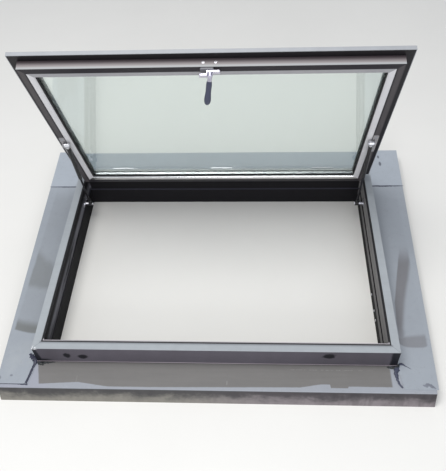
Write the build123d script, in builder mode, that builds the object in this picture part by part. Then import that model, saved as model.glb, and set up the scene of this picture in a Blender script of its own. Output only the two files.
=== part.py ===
import os
from math import cos, radians, sin, tan

from build123d import *

os.makedirs("parts", exist_ok=True)

# A top-hung roof skylight on its flashing, with the lid open on two gas springs.
# Axes: X to the right, Y up the roof slope, Z out of the roof. Millimetres.
# The origin is under the middle of the flashing, level with the foot of the frame.
# Lid parts are drawn closed, in place on the frame, and are turned open when saved.

# Sizes of the frame
FRAME_WIDTH = 1260
FRAME_LENGTH = 890
FRAME_HEIGHT = 150
WALL = 2
FLANGE_WIDTH = 28
GROOVE_WIDTH = 5
GROOVE_DEPTH = 8
LIP_WIDTH = 3
FLANGE_WALL = 3
SKIRT_DEPTH = 84
UPSTAND_SLOT = 4
LEDGE_DEPTH = 70
LEDGE_WIDTH = 3
WEB_DEPTH = 80

# Sizes of the flashing
SHEET = 1.5
FLASHING_DROP = 87
UPSTAND_DROP = 40
UPSTAND_GAP = 0.5
APRON_REACH = 119
LIP_SPLAY = 20
HEAD_REACH = 228
SIDE_FRONT_REACH = 127
SIDE_REAR_REACH = 160
APRON_SIDE_REACH = 120
SIDE_LAP = 88
HEAD_LAP = 20
SEAM_SPLAY = 15
SEALANT_WIDTH = 6
SEALANT_HEIGHT = 2.2

# Sizes of the lid
LID_INSET = 11
LID_LIFT = 2
LID_CLEARANCE = 2
BOX_DEPTH = 29
BOX_WIDTH = 24
BOX_RISE = 8
COVER_HEIGHT = 9
COVER_BEVEL = 8
COVER_LIP = 2
COVER_WIDTH = 78
GLASS_INSET = 5
BEAD_WIDTH = 21
BEAD_HEIGHT = 9
GASKET = 3
WEDGE_REACH = 5.5
PANE = 5
CAVITY = 12
SPACER_WIDTH = 8
EDGE_SEAL = 5
BLOCK_LENGTH = 80

# Sizes of the hinges
HINGE_RISE = 14
KNUCKLE_RADIUS = 6.5
PIN_RADIUS = 3
PIN_CLEARANCE = 0.08
HINGE_LENGTH = 90
HINGE_LEAF = 3.5
HINGES_PER_WIDTH = 3
KNUCKLE_GAP = 0.3
OPEN_ANGLE = 68.9

# Sizes of the gas springs
SPRING_INSET = 29
FRAME_STUD_REACH = 123
LID_STUD_REACH = 368
STUD_DROP = 45
STUD_RADIUS = 4
STUD_CLEARANCE = 0.08
EYE_RADIUS = 9
EYE_WIDTH = 16
TUBE_RADIUS = 7.5
TUBE_WALL = 1.2
TUBE_END = 16
TUBE_REACH = 205
GLAND = 14
ROD_RADIUS = 4
ROD_LENGTH = 209
PISTON_LENGTH = 10
PISTON_GAP = 0.3

# Sizes of the handle
SPINDLE_X = 7
SPINDLE_RADIUS = 4
HANDLE_BASE_X = -3
HANDLE_BASE_LENGTH = 42
HANDLE_BASE_WIDTH = 19
HANDLE_BASE_HEIGHT = 6
CAM_REACH = 33
CAM_SHORT_REACH = 31
CAM_WIDTH = 12
CAM_THICKNESS = 6.5
CAM_CRANK = 2.5
CAM_GAP = 0.5
HUB_RADIUS = 8
LEVER_LENGTH = 138
LEVER_LEAN = 8

# Places that follow from the sizes
TOP = FRAME_HEIGHT
KIT_LENGTH = APRON_REACH + FRAME_LENGTH + HEAD_REACH
FRONT = APRON_REACH - KIT_LENGTH / 2
HEAD = FRONT + FRAME_LENGTH
MIDDLE = (FRONT + HEAD) / 2
SIDE = FRAME_WIDTH / 2
HINGE_SPACING = FRAME_WIDTH / HINGES_PER_WIDTH
ZERO_Y = FRONT + FLANGE_WIDTH + 2
SEAT = FLANGE_WIDTH + GROOVE_WIDTH + LIP_WIDTH
SPRING_X = SIDE - SEAT - SPRING_INSET
APRON_HALF_WIDTH = SIDE + APRON_SIDE_REACH
SIDE_FRONT_X = SIDE + SIDE_FRONT_REACH
SIDE_REAR_X = SIDE + SIDE_REAR_REACH
LINING = SEAT + LEDGE_WIDTH
CORE = WALL + UPSTAND_SLOT
LID_WALL = SEAT + LID_CLEARANCE
RAIL_INNER = LID_WALL + BOX_WIDTH
BEAD_INNER = RAIL_INNER + BEAD_WIDTH
GLASS_EDGE = RAIL_INNER + GLASS_INSET
WEDGE_INNER = BEAD_INNER + WEDGE_REACH
GLASS_FACE = BEAD_HEIGHT + GASKET - BOX_DEPTH
GLASS_TOP = GLASS_FACE + 2 * PANE + CAVITY
HINGE_Y = HEAD - FLANGE_WIDTH
HINGE_Z = TOP + HINGE_RISE
HINGE = Axis((0, HINGE_Y, HINGE_Z), (1, 0, 0))

# Each member's section is drawn on a plane whose first axis runs inwards from the
# frame's outer wall and whose second axis runs up from the top of the flange.
SECTION = {
    "sill": Plane(origin=(0, FRONT, TOP), x_dir=(0, 1, 0), z_dir=(1, 0, 0)),
    "head": Plane(origin=(0, HEAD, TOP), x_dir=(0, -1, 0), z_dir=(-1, 0, 0)),
    "left": Plane(origin=(-SIDE, MIDDLE, TOP), x_dir=(1, 0, 0), z_dir=(0, -1, 0)),
    "right": Plane(origin=(SIDE, MIDDLE, TOP), x_dir=(-1, 0, 0), z_dir=(0, 1, 0)),
}
LONGEST = SIDE + 20

# Frame: hollow members, mitred at the corners. The outer skirt hangs clear of the
# core, so the flashing's upstand can slip in behind it.
skirt_and_flange = [
    (CORE, -FRAME_HEIGHT),
    (CORE, -FLANGE_WALL),
    (WALL, -FLANGE_WALL),
    (WALL, -SKIRT_DEPTH),
    (0, -SKIRT_DEPTH),
    (0, 0),
    (FLANGE_WIDTH, 0),
    (FLANGE_WIDTH, -GROOVE_DEPTH),
    (FLANGE_WIDTH + GROOVE_WIDTH, -GROOVE_DEPTH),
    (FLANGE_WIDTH + GROOVE_WIDTH, 0),
    (SEAT, 0),
]
sill_outline = skirt_and_flange + [(SEAT, -FRAME_HEIGHT)]
jamb_outline = skirt_and_flange + [
    (SEAT, -LEDGE_DEPTH),
    (LINING, -LEDGE_DEPTH),
    (LINING, -FRAME_HEIGHT),
]
chamber_top = [
    (CORE + WALL, -FLANGE_WALL),
    (FLANGE_WIDTH - WALL, -FLANGE_WALL),
    (FLANGE_WIDTH - WALL, -GROOVE_DEPTH - WALL),
    (SEAT - WALL, -GROOVE_DEPTH - WALL),
]
sill_upper = chamber_top + [(SEAT - WALL, -WEB_DEPTH), (CORE + WALL, -WEB_DEPTH)]
jamb_upper = chamber_top + [
    (SEAT - WALL, -LEDGE_DEPTH - WALL),
    (LINING - WALL, -LEDGE_DEPTH - WALL),
    (LINING - WALL, -WEB_DEPTH),
    (CORE + WALL, -WEB_DEPTH),
]
sill_lower = [
    (CORE + WALL, -WEB_DEPTH - WALL),
    (SEAT - WALL, -WEB_DEPTH - WALL),
    (SEAT - WALL, WALL - FRAME_HEIGHT),
    (CORE + WALL, WALL - FRAME_HEIGHT),
]
jamb_lower = [
    (CORE + WALL, -WEB_DEPTH - WALL),
    (LINING - WALL, -WEB_DEPTH - WALL),
    (LINING - WALL, WALL - FRAME_HEIGHT),
    (CORE + WALL, WALL - FRAME_HEIGHT),
]
frame_outline = {
    "sill": sill_outline, "head": jamb_outline, "left": jamb_outline, "right": jamb_outline,
}
frame_upper = {"sill": sill_upper, "head": jamb_upper, "left": jamb_upper, "right": jamb_upper}
frame_lower = {"sill": sill_lower, "head": jamb_lower, "left": jamb_lower, "right": jamb_lower}
frame_plan = {
    "sill": [
        (-SIDE, FRONT), (SIDE, FRONT), (SIDE - SEAT, FRONT + SEAT), (SEAT - SIDE, FRONT + SEAT),
    ],
    "head": [
        (-SIDE, HEAD), (SIDE, HEAD), (SIDE - LINING, HEAD - LINING), (LINING - SIDE, HEAD - LINING),
    ],
    "left": [
        (-SIDE, FRONT), (SEAT - SIDE, FRONT + SEAT), (LINING - SIDE, FRONT + SEAT),
        (LINING - SIDE, HEAD - LINING), (-SIDE, HEAD),
    ],
    "right": [
        (SIDE, FRONT), (SIDE - SEAT, FRONT + SEAT), (SIDE - LINING, FRONT + SEAT),
        (SIDE - LINING, HEAD - LINING), (SIDE, HEAD),
    ],
}

# The slot in the sill takes the handle's tongue as it turns.
SPINDLE_Y = FRONT + LID_WALL + BOX_WIDTH / 2
CAM_FACE = BOX_DEPTH + HANDLE_BASE_HEIGHT + 1.5
TONGUE_DROP = 12
SLOT_MARGIN = 2
slot_low = CAM_FACE + TONGUE_DROP + CAM_THICKNESS + SLOT_MARGIN
slot_high = CAM_FACE + TONGUE_DROP - SLOT_MARGIN
slot_left = SPINDLE_X - CAM_REACH - SLOT_MARGIN
slot_right = SPINDLE_X + CAM_WIDTH / 2 + 2 * SLOT_MARGIN

for member in ("head", "left", "right"):
    with BuildPart() as frame_member:
        with BuildSketch(SECTION[member]):
            with BuildLine():
                Polyline(*frame_outline[member], close=True)
            make_face()
            with BuildLine():
                Polyline(*frame_upper[member], close=True)
            make_face(mode=Mode.SUBTRACT)
            with BuildLine():
                Polyline(*frame_lower[member], close=True)
            make_face(mode=Mode.SUBTRACT)
        extrude(amount=LONGEST, both=True)
        with BuildSketch(Plane.XY):
            with BuildLine():
                Polyline(*frame_plan[member], close=True)
            make_face()
        extrude(amount=FRAME_HEIGHT, mode=Mode.INTERSECT)
    frame_member.part.label = "frame_" + member
    export_step(frame_member.part, "parts/frame_" + member + ".step")

with BuildPart() as frame_sill:
    with BuildSketch(SECTION["sill"]):
        with BuildLine():
            Polyline(*sill_outline, close=True)
        make_face()
        with BuildLine():
            Polyline(*sill_upper, close=True)
        make_face(mode=Mode.SUBTRACT)
        with BuildLine():
            Polyline(*sill_lower, close=True)
        make_face(mode=Mode.SUBTRACT)
    extrude(amount=LONGEST, both=True)
    with BuildSketch(Plane.XY):
        with BuildLine():
            Polyline(*frame_plan["sill"], close=True)
        make_face()
    extrude(amount=FRAME_HEIGHT, mode=Mode.INTERSECT)
    with BuildSketch(Plane.XZ.offset(-FRONT - SEAT)):
        with Locations(((slot_left + slot_right) / 2, TOP - (slot_low + slot_high) / 2)):
            Rectangle(slot_right - slot_left, slot_low - slot_high)
    extrude(amount=WALL + 1, mode=Mode.SUBTRACT)
frame_sill.part.label = "frame_sill"
export_step(frame_sill.part, "parts/frame_sill.step")

# Angle cleats join the frame's members inside the lower chambers.
CLEAT_LEG = 75
CLEAT_WIDTH = 23
CLEAT_HEIGHT = 60
cleat_outer = CORE + WALL + 0.5
with BuildPart() as frame_cleats:
    for side_x in (-1, 1):
        for end_y, along in ((FRONT, 1), (HEAD, -1)):
            corner_x = side_x * (SIDE - cleat_outer)
            corner_y = end_y + along * cleat_outer
            with BuildSketch(Plane.XY.offset(WALL + 1)):
                with BuildLine():
                    Polyline(
                        (corner_x, corner_y),
                        (corner_x - side_x * CLEAT_LEG, corner_y),
                        (corner_x - side_x * CLEAT_LEG, corner_y + along * CLEAT_WIDTH),
                        (corner_x - side_x * CLEAT_WIDTH, corner_y + along * CLEAT_WIDTH),
                        (corner_x - side_x * CLEAT_WIDTH, corner_y + along * CLEAT_LEG),
                        (corner_x, corner_y + along * CLEAT_LEG),
                        close=True,
                    )
                make_face()
            extrude(amount=CLEAT_HEIGHT)
frame_cleats.part.label = "frame_cleats"
export_step(frame_cleats.part, "parts/frame_cleats.step")

# The bulb seal fills the groove and stands a little above the flange.
SEAL_GAP = 0.2
SEAL_STAND = 1.5
SEAL_ROUND = 1.4
with BuildPart() as frame_seal:
    with BuildSketch(Plane.XY.offset(TOP - GROOVE_DEPTH)):
        with Locations((0, MIDDLE)):
            Rectangle(
                FRAME_WIDTH - 2 * (FLANGE_WIDTH + SEAL_GAP),
                FRAME_LENGTH - 2 * (FLANGE_WIDTH + SEAL_GAP),
            )
            Rectangle(
                FRAME_WIDTH - 2 * (FLANGE_WIDTH + GROOVE_WIDTH - SEAL_GAP),
                FRAME_LENGTH - 2 * (FLANGE_WIDTH + GROOVE_WIDTH - SEAL_GAP),
                mode=Mode.SUBTRACT,
            )
    extrude(amount=GROOVE_DEPTH + SEAL_STAND)
    fillet(frame_seal.faces().sort_by(Axis.Z)[-1].edges(), radius=SEAL_ROUND)
frame_seal.part.label = "frame_seal"
export_step(frame_seal.part, "parts/frame_seal.step")

# Fixing screws through the right jamb, low on its inner wall.
JAMB_SCREW_YS = (302, 227, 184)
JAMB_SCREW_DROP = 130
SCREW_HEAD_RADIUS = 4.5
SCREW_HEAD_HEIGHT = 2.4
SCREW_HEAD_ROUND = 1.2
with BuildPart() as jamb_screws:
    for screw_y in JAMB_SCREW_YS:
        with BuildSketch(Plane.YZ.offset(SIDE - LINING - SCREW_HEAD_HEIGHT)):
            with Locations((ZERO_Y + screw_y, TOP - JAMB_SCREW_DROP)):
                Circle(SCREW_HEAD_RADIUS)
        extrude(amount=SCREW_HEAD_HEIGHT)
    fillet(jamb_screws.faces().group_by(Axis.X)[0].edges(), radius=SCREW_HEAD_ROUND)
jamb_screws.part.label = "jamb_screws"
export_step(jamb_screws.part, "parts/jamb_screws.step")

# Keeper plate round the slot in the sill.
KEEPER_MARGIN = 14
KEEPER_THICKNESS = 1.2
slot_middle_x = (slot_left + slot_right) / 2
slot_middle_z = TOP - (slot_low + slot_high) / 2
keeper_length = slot_right - slot_left + 2 * KEEPER_MARGIN
with BuildPart() as keeper:
    with BuildSketch(Plane.XZ.offset(-FRONT - SEAT - KEEPER_THICKNESS)):
        with Locations((slot_middle_x, slot_middle_z)):
            Rectangle(keeper_length, slot_low - slot_high + 6)
            Rectangle(slot_right - slot_left - 1, slot_low - slot_high - 1, mode=Mode.SUBTRACT)
    extrude(amount=KEEPER_THICKNESS)
    fillet(keeper.edges().filter_by(Axis.Y).group_by(Axis.X)[0], radius=3)
    fillet(keeper.edges().filter_by(Axis.Y).group_by(Axis.X)[-1], radius=3)
keeper.part.label = "keeper"
export_step(keeper.part, "parts/keeper.step")

KEEPER_SCREW_RADIUS = 3.2
KEEPER_SCREW_HEIGHT = 1
with BuildPart() as keeper_screws:
    for screw_side in (-1, 1):
        screw_x = slot_middle_x + screw_side * (keeper_length - KEEPER_MARGIN) / 2
        with BuildSketch(Plane.XZ.offset(-FRONT - SEAT - KEEPER_THICKNESS)):
            with Locations((screw_x, slot_middle_z)):
                Circle(KEEPER_SCREW_RADIUS)
        extrude(amount=-KEEPER_SCREW_HEIGHT)
keeper_screws.part.label = "keeper_screws"
export_step(keeper_screws.part, "parts/keeper_screws.step")

# Flashing: the side sheets lie on the apron and the head sheet lies on the sides.
SIDE_TOP = TOP - FLASHING_DROP
APRON_TOP = SIDE_TOP - SHEET
HEAD_TOP = SIDE_TOP + SHEET
upstand_outer = WALL + UPSTAND_GAP
upstand_inner = upstand_outer + SHEET
fold_y = -KIT_LENGTH / 2 + LIP_SPLAY
lip_thickness = SHEET / cos(radians(18))
with BuildPart() as apron:
    with BuildSketch(Plane.YZ):
        with BuildLine():
            Polyline(
                (FRONT + upstand_inner, APRON_TOP),
                (fold_y, APRON_TOP),
                (fold_y - LIP_SPLAY, 0),
                (fold_y - LIP_SPLAY + lip_thickness, 0),
                (fold_y + SHEET, APRON_TOP - SHEET),
                (FRONT + upstand_inner, APRON_TOP - SHEET),
                close=True,
            )
        make_face()
    extrude(amount=APRON_HALF_WIDTH, both=True)
    with BuildSketch(Plane.YZ):
        with BuildLine():
            Polyline(
                (FRONT + upstand_outer, APRON_TOP - SHEET),
                (FRONT + upstand_inner, APRON_TOP - SHEET),
                (FRONT + upstand_inner, TOP - UPSTAND_DROP),
                (FRONT + upstand_outer, TOP - UPSTAND_DROP),
                close=True,
            )
        make_face()
    extrude(amount=SIDE - upstand_inner, both=True)
apron.part.label = "apron"
export_step(apron.part, "parts/apron.step")

side_rear = HEAD + HEAD_LAP
head_rear = KIT_LENGTH / 2
front_of_side = FRONT - SIDE_LAP
flare = (SIDE_REAR_X - SIDE_FRONT_X) / (head_rear - front_of_side)
side_rear_x = SIDE_FRONT_X + flare * (side_rear - front_of_side)
seam_x = SIDE + SEAM_SPLAY
for side_name, side_x in (("left", -1), ("right", 1)):
    with BuildPart() as side_flashing:
        with BuildSketch(Plane.XY.offset(SIDE_TOP - SHEET)):
            with BuildLine():
                Polyline(
                    (side_x * (SIDE - upstand_inner), FRONT + upstand_outer),
                    (side_x * SIDE, FRONT - 1),
                    (side_x * seam_x, front_of_side),
                    (side_x * SIDE_FRONT_X, front_of_side),
                    (side_x * side_rear_x, side_rear),
                    (side_x * (SIDE - upstand_inner), side_rear),
                    close=True,
                )
            make_face()
        extrude(amount=SHEET)
        with BuildSketch(Plane.XY.offset(SIDE_TOP - SHEET)):
            with Locations((side_x * (SIDE - upstand_inner + SHEET / 2), MIDDLE - SHEET / 2)):
                Rectangle(SHEET, FRAME_LENGTH - upstand_outer - upstand_inner)
        extrude(amount=FLASHING_DROP - UPSTAND_DROP + SHEET)
    side_flashing.part.label = side_name + "_flashing"
    export_step(side_flashing.part, "parts/" + side_name + "_flashing.step")

head_front = HEAD - upstand_inner
head_front_x = SIDE_FRONT_X + flare * (head_front - front_of_side)
with BuildPart() as head_flashing:
    with BuildSketch(Plane.XY.offset(SIDE_TOP)):
        with BuildLine():
            Polyline(
                (-head_front_x, head_front),
                (head_front_x, head_front),
                (SIDE_REAR_X, head_rear),
                (-SIDE_REAR_X, head_rear),
                close=True,
            )
        make_face()
    extrude(amount=SHEET)
    with BuildSketch(Plane.XY.offset(SIDE_TOP)):
        with Locations((0, head_front + SHEET / 2)):
            Rectangle(FRAME_WIDTH - 2 * upstand_outer, SHEET)
    extrude(amount=FLASHING_DROP - UPSTAND_DROP)
head_flashing.part.label = "head_flashing"
export_step(head_flashing.part, "parts/head_flashing.step")

# Sealant runs along the front seams, on the apron, and along the head seams.
with BuildPart() as sealant:
    for side_x in (-1, 1):
        with BuildSketch(Plane.XY.offset(APRON_TOP)):
            with BuildLine():
                Polyline(
                    (side_x * SIDE, FRONT - 1),
                    (side_x * seam_x, front_of_side),
                    (side_x * APRON_HALF_WIDTH, front_of_side),
                    (side_x * APRON_HALF_WIDTH, front_of_side - SEALANT_WIDTH),
                    (side_x * (seam_x - SEALANT_WIDTH), front_of_side - SEALANT_WIDTH),
                    (side_x * (SIDE - SEALANT_WIDTH), FRONT - 1),
                    close=True,
                )
            make_face()
        extrude(amount=SEALANT_HEIGHT)
        with BuildSketch(Plane.XY.offset(SIDE_TOP)):
            with Locations(((side_x * (SIDE + head_front_x) / 2, head_front - SEALANT_WIDTH / 2))):
                Rectangle(head_front_x - SIDE - 2, SEALANT_WIDTH)
        extrude(amount=SEALANT_HEIGHT)
sealant.part.label = "sealant"
export_step(sealant.part, "parts/sealant.step")

# Lid: hollow rails. The free edge and the sides reach out over the flange, and the
# head rail ends at its own wall so that it can turn close to the hinge pins.
overhang_low = LID_LIFT
box_low = -BOX_DEPTH
cover_top = BOX_RISE + COVER_HEIGHT
edge = LID_INSET + COVER_LIP
side_rail_outline = [
    (edge, overhang_low),
    (LID_WALL, overhang_low),
    (LID_WALL, box_low),
    (RAIL_INNER, box_low),
    (RAIL_INNER, BOX_RISE),
    (edge, BOX_RISE),
]
head_rail_outline = [
    (LID_WALL, box_low),
    (RAIL_INNER, box_low),
    (RAIL_INNER, BOX_RISE),
    (LID_WALL, BOX_RISE),
]
rail_outline = {
    "sill": side_rail_outline, "head": head_rail_outline,
    "left": side_rail_outline, "right": side_rail_outline,
}
box_chamber = [
    (LID_WALL + WALL, box_low + WALL),
    (RAIL_INNER - WALL, box_low + WALL),
    (RAIL_INNER - WALL, BOX_RISE - WALL),
    (LID_WALL + WALL, BOX_RISE - WALL),
]
edge_x = SIDE - LID_INSET
edge_y = FRONT + LID_INSET
wall_x = SIDE - LID_WALL
wall_y = HEAD - LID_WALL
MITRE = 60
front_corner_x = edge_x - LID_WALL - MITRE
front_corner_y = edge_y + LID_WALL + MITRE
rail_plan = {
    "sill": [
        (-edge_x, edge_y), (edge_x, edge_y),
        (front_corner_x, front_corner_y), (-front_corner_x, front_corner_y),
    ],
    "head": [
        (-wall_x, wall_y), (wall_x, wall_y), (wall_x - MITRE, wall_y - MITRE),
        (MITRE - wall_x, wall_y - MITRE),
    ],
    "left": [
        (-edge_x, edge_y), (-front_corner_x, front_corner_y), (MITRE - wall_x, wall_y - MITRE),
        (-wall_x, wall_y), (-edge_x, wall_y),
    ],
    "right": [
        (edge_x, edge_y), (front_corner_x, front_corner_y), (wall_x - MITRE, wall_y - MITRE),
        (wall_x, wall_y), (edge_x, wall_y),
    ],
}
rail_name = {
    "sill": "lid_free_rail", "head": "lid_head_rail",
    "left": "lid_left_stile", "right": "lid_right_stile",
}
SPINDLE_HOLE = 6
for member in ("sill", "head", "left", "right"):
    with BuildPart() as lid_member:
        with BuildSketch(SECTION[member]):
            with BuildLine():
                Polyline(*rail_outline[member], close=True)
            make_face()
            with BuildLine():
                Polyline(*box_chamber, close=True)
            make_face(mode=Mode.SUBTRACT)
        extrude(amount=LONGEST, both=True)
        with BuildSketch(Plane.XY.offset(TOP - BOX_DEPTH)):
            with BuildLine():
                Polyline(*rail_plan[member], close=True)
            make_face()
        extrude(amount=BOX_DEPTH + BOX_RISE, mode=Mode.INTERSECT)
        if member == "sill":
            with BuildSketch(Plane.XY.offset(TOP - BOX_DEPTH)):
                with Locations((SPINDLE_X, SPINDLE_Y)):
                    Circle(SPINDLE_HOLE)
            extrude(amount=WALL, mode=Mode.SUBTRACT)
    lid_rail = lid_member.part.rotate(HINGE, -OPEN_ANGLE)
    lid_rail.label = rail_name[member]
    export_step(lid_rail, "parts/" + rail_name[member] + ".step")

# Outer covers clip over the rails and hold the glass down.
cover_outline = [
    (LID_INSET, overhang_low),
    (edge, overhang_low),
    (edge, BOX_RISE),
    (COVER_WIDTH + LID_INSET, BOX_RISE),
    (COVER_WIDTH + LID_INSET, BOX_RISE + 2),
    (COVER_WIDTH + LID_INSET - COVER_BEVEL, cover_top),
    (LID_INSET + 2, cover_top),
    (LID_INSET, cover_top - 2),
]
cover_chamber = [
    (LID_INSET + 5, BOX_RISE + 2),
    (COVER_WIDTH + LID_INSET - 5, BOX_RISE + 2),
    (COVER_WIDTH + LID_INSET - COVER_BEVEL - 2, cover_top - 2),
    (LID_INSET + 5, cover_top - 2),
]
head_cover_outline = [
    (LID_WALL - COVER_LIP, overhang_low),
    (LID_WALL, overhang_low),
    (LID_WALL, BOX_RISE),
    (COVER_WIDTH + LID_INSET, BOX_RISE),
    (COVER_WIDTH + LID_INSET, BOX_RISE + 2),
    (COVER_WIDTH + LID_INSET - COVER_BEVEL, cover_top),
    (LID_WALL - COVER_LIP + 2, cover_top),
    (LID_WALL - COVER_LIP, cover_top - 2),
]
head_cover_chamber = [
    (LID_WALL + 3, BOX_RISE + 2),
    (COVER_WIDTH + LID_INSET - 5, BOX_RISE + 2),
    (COVER_WIDTH + LID_INSET - COVER_BEVEL - 2, cover_top - 2),
    (LID_WALL + 3, cover_top - 2),
]
cover_section = {
    "sill": cover_outline, "head": head_cover_outline,
    "left": cover_outline, "right": cover_outline,
}
cover_hollow = {
    "sill": cover_chamber, "head": head_cover_chamber,
    "left": cover_chamber, "right": cover_chamber,
}
cover_inner_x = edge_x - COVER_WIDTH
cover_inner_y = edge_y + COVER_WIDTH
cover_end = wall_y + COVER_LIP
END_WALL = 2
cover_plan = {
    "sill": [
        (-edge_x, edge_y), (edge_x, edge_y),
        (cover_inner_x, cover_inner_y), (-cover_inner_x, cover_inner_y),
    ],
    "head": [
        (-cover_inner_x, cover_end), (cover_inner_x, cover_end),
        (cover_inner_x, cover_end - COVER_WIDTH), (-cover_inner_x, cover_end - COVER_WIDTH),
    ],
    "left": [
        (-edge_x, edge_y), (-cover_inner_x, cover_inner_y),
        (-cover_inner_x, cover_end), (-edge_x, cover_end),
    ],
    "right": [
        (edge_x, edge_y), (cover_inner_x, cover_inner_y),
        (cover_inner_x, cover_end), (edge_x, cover_end),
    ],
}
cover_name = {
    "sill": "lid_free_cover", "head": "lid_head_cover",
    "left": "lid_left_cover", "right": "lid_right_cover",
}
for member in ("sill", "head", "left", "right"):
    with BuildPart() as lid_cover:
        with BuildSketch(SECTION[member]):
            with BuildLine():
                Polyline(*cover_section[member], close=True)
            make_face()
            with BuildLine():
                Polyline(*cover_hollow[member], close=True)
            make_face(mode=Mode.SUBTRACT)
        extrude(amount=LONGEST, both=True)
        with BuildSketch(Plane.XY.offset(TOP)):
            with BuildLine():
                Polyline(*cover_plan[member], close=True)
            make_face()
        extrude(amount=cover_top, mode=Mode.INTERSECT)
        if member in ("left", "right"):
            end_side = -1 if member == "left" else 1
            with BuildSketch(Plane.XZ.offset(-cover_end)):
                with BuildLine():
                    Polyline(
                        *[(end_side * (SIDE - inset), TOP + level) for inset, level in cover_outline],
                        close=True,
                    )
                make_face()
            extrude(amount=END_WALL)
    cover_open = lid_cover.part.rotate(HINGE, -OPEN_ANGLE)
    cover_open.label = cover_name[member]
    export_step(cover_open, "parts/" + cover_name[member] + ".step")

# Glazing beads, mitred, on the room side of the glass.
BEAD_GAP = 0.2
BEAD_WALL = 1.6
BEAD_ROUND = 3
bead_outer = RAIL_INNER + BEAD_GAP
bead_outline = [
    (bead_outer, box_low),
    (BEAD_INNER - BEAD_ROUND, box_low),
    (BEAD_INNER, box_low + BEAD_ROUND),
    (BEAD_INNER, box_low + BEAD_HEIGHT),
    (bead_outer, box_low + BEAD_HEIGHT),
]
bead_chamber = [
    (bead_outer + BEAD_WALL, box_low + BEAD_WALL),
    (BEAD_INNER - BEAD_ROUND, box_low + BEAD_WALL),
    (BEAD_INNER - BEAD_WALL, box_low + BEAD_ROUND + 0.5),
    (BEAD_INNER - BEAD_WALL, box_low + BEAD_HEIGHT - BEAD_WALL),
    (bead_outer + BEAD_WALL, box_low + BEAD_HEIGHT - BEAD_WALL),
]
bead_x = SIDE - RAIL_INNER
bead_front = FRONT + RAIL_INNER
bead_head = HEAD - RAIL_INNER
BEAD_MITRE = 40
bead_plan = {
    "sill": [
        (-bead_x, bead_front), (bead_x, bead_front),
        (bead_x - BEAD_MITRE, bead_front + BEAD_MITRE),
        (BEAD_MITRE - bead_x, bead_front + BEAD_MITRE),
    ],
    "head": [
        (-bead_x, bead_head), (bead_x, bead_head),
        (bead_x - BEAD_MITRE, bead_head - BEAD_MITRE),
        (BEAD_MITRE - bead_x, bead_head - BEAD_MITRE),
    ],
    "left": [
        (-bead_x, bead_front), (BEAD_MITRE - bead_x, bead_front + BEAD_MITRE),
        (BEAD_MITRE - bead_x, bead_head - BEAD_MITRE), (-bead_x, bead_head),
    ],
    "right": [
        (bead_x, bead_front), (bead_x - BEAD_MITRE, bead_front + BEAD_MITRE),
        (bead_x - BEAD_MITRE, bead_head - BEAD_MITRE), (bead_x, bead_head),
    ],
}
bead_name = {"sill": "bead_free", "head": "bead_head", "left": "bead_left", "right": "bead_right"}
for member in ("sill", "head", "left", "right"):
    with BuildPart() as lid_bead:
        with BuildSketch(SECTION[member]):
            with BuildLine():
                Polyline(*bead_outline, close=True)
            make_face()
            with BuildLine():
                Polyline(*bead_chamber, close=True)
            make_face(mode=Mode.SUBTRACT)
        extrude(amount=LONGEST, both=True)
        with BuildSketch(Plane.XY.offset(TOP + box_low)):
            with BuildLine():
                Polyline(*bead_plan[member], close=True)
            make_face()
        extrude(amount=BEAD_HEIGHT, mode=Mode.INTERSECT)
    bead_open = lid_bead.part.rotate(HINGE, -OPEN_ANGLE)
    bead_open.label = bead_name[member]
    export_step(bead_open, "parts/" + bead_name[member] + ".step")

# Sizes of the rings round the glass, taken in from the frame's outer walls.
def ring_size(inset):
    return (FRAME_WIDTH - 2 * inset, FRAME_LENGTH - 2 * inset)


# The inner gasket carries the glass and shows as a wedge beside the beads.
WEDGE_DEPTH = 6
with BuildPart() as inner_gasket:
    with BuildSketch(Plane.XY.offset(TOP + GLASS_FACE - GASKET)):
        with Locations((0, MIDDLE)):
            Rectangle(*ring_size(GLASS_EDGE))
            Rectangle(*ring_size(WEDGE_INNER), mode=Mode.SUBTRACT)
    extrude(amount=GASKET)
    with BuildSketch(Plane.XY.offset(TOP + GLASS_FACE - GASKET - WEDGE_DEPTH)):
        with Locations((0, MIDDLE)):
            Rectangle(*ring_size(BEAD_INNER + BEAD_GAP))
            Rectangle(*ring_size(WEDGE_INNER), mode=Mode.SUBTRACT)
    extrude(amount=WEDGE_DEPTH)
    chamfer(
        inner_gasket.faces().sort_by(Axis.Z)[0].inner_wires().edges(),
        length=WEDGE_REACH - 1,
    )
inner_gasket_open = inner_gasket.part.rotate(HINGE, -OPEN_ANGLE)
inner_gasket_open.label = "inner_gasket"
export_step(inner_gasket_open, "parts/inner_gasket.step")

OUTER_GASKET_INSET = 2
with BuildPart() as outer_gasket:
    with BuildSketch(Plane.XY.offset(TOP + GLASS_TOP)):
        with Locations((0, MIDDLE)):
            Rectangle(*ring_size(GLASS_EDGE + OUTER_GASKET_INSET))
            Rectangle(*ring_size(LID_INSET + COVER_WIDTH - 1), mode=Mode.SUBTRACT)
    extrude(amount=BOX_RISE - GLASS_TOP)
outer_gasket_open = outer_gasket.part.rotate(HINGE, -OPEN_ANGLE)
outer_gasket_open.label = "outer_gasket"
export_step(outer_gasket_open, "parts/outer_gasket.step")

for pane_name, pane_low in (("inner_pane", GLASS_FACE), ("outer_pane", GLASS_TOP - PANE)):
    with BuildPart() as pane:
        with BuildSketch(Plane.XY.offset(TOP + pane_low)):
            with Locations((0, MIDDLE)):
                Rectangle(*ring_size(GLASS_EDGE))
        extrude(amount=PANE)
    pane_open = pane.part.rotate(HINGE, -OPEN_ANGLE)
    pane_open.label = pane_name
    export_step(pane_open, "parts/" + pane_name + ".step")

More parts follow.
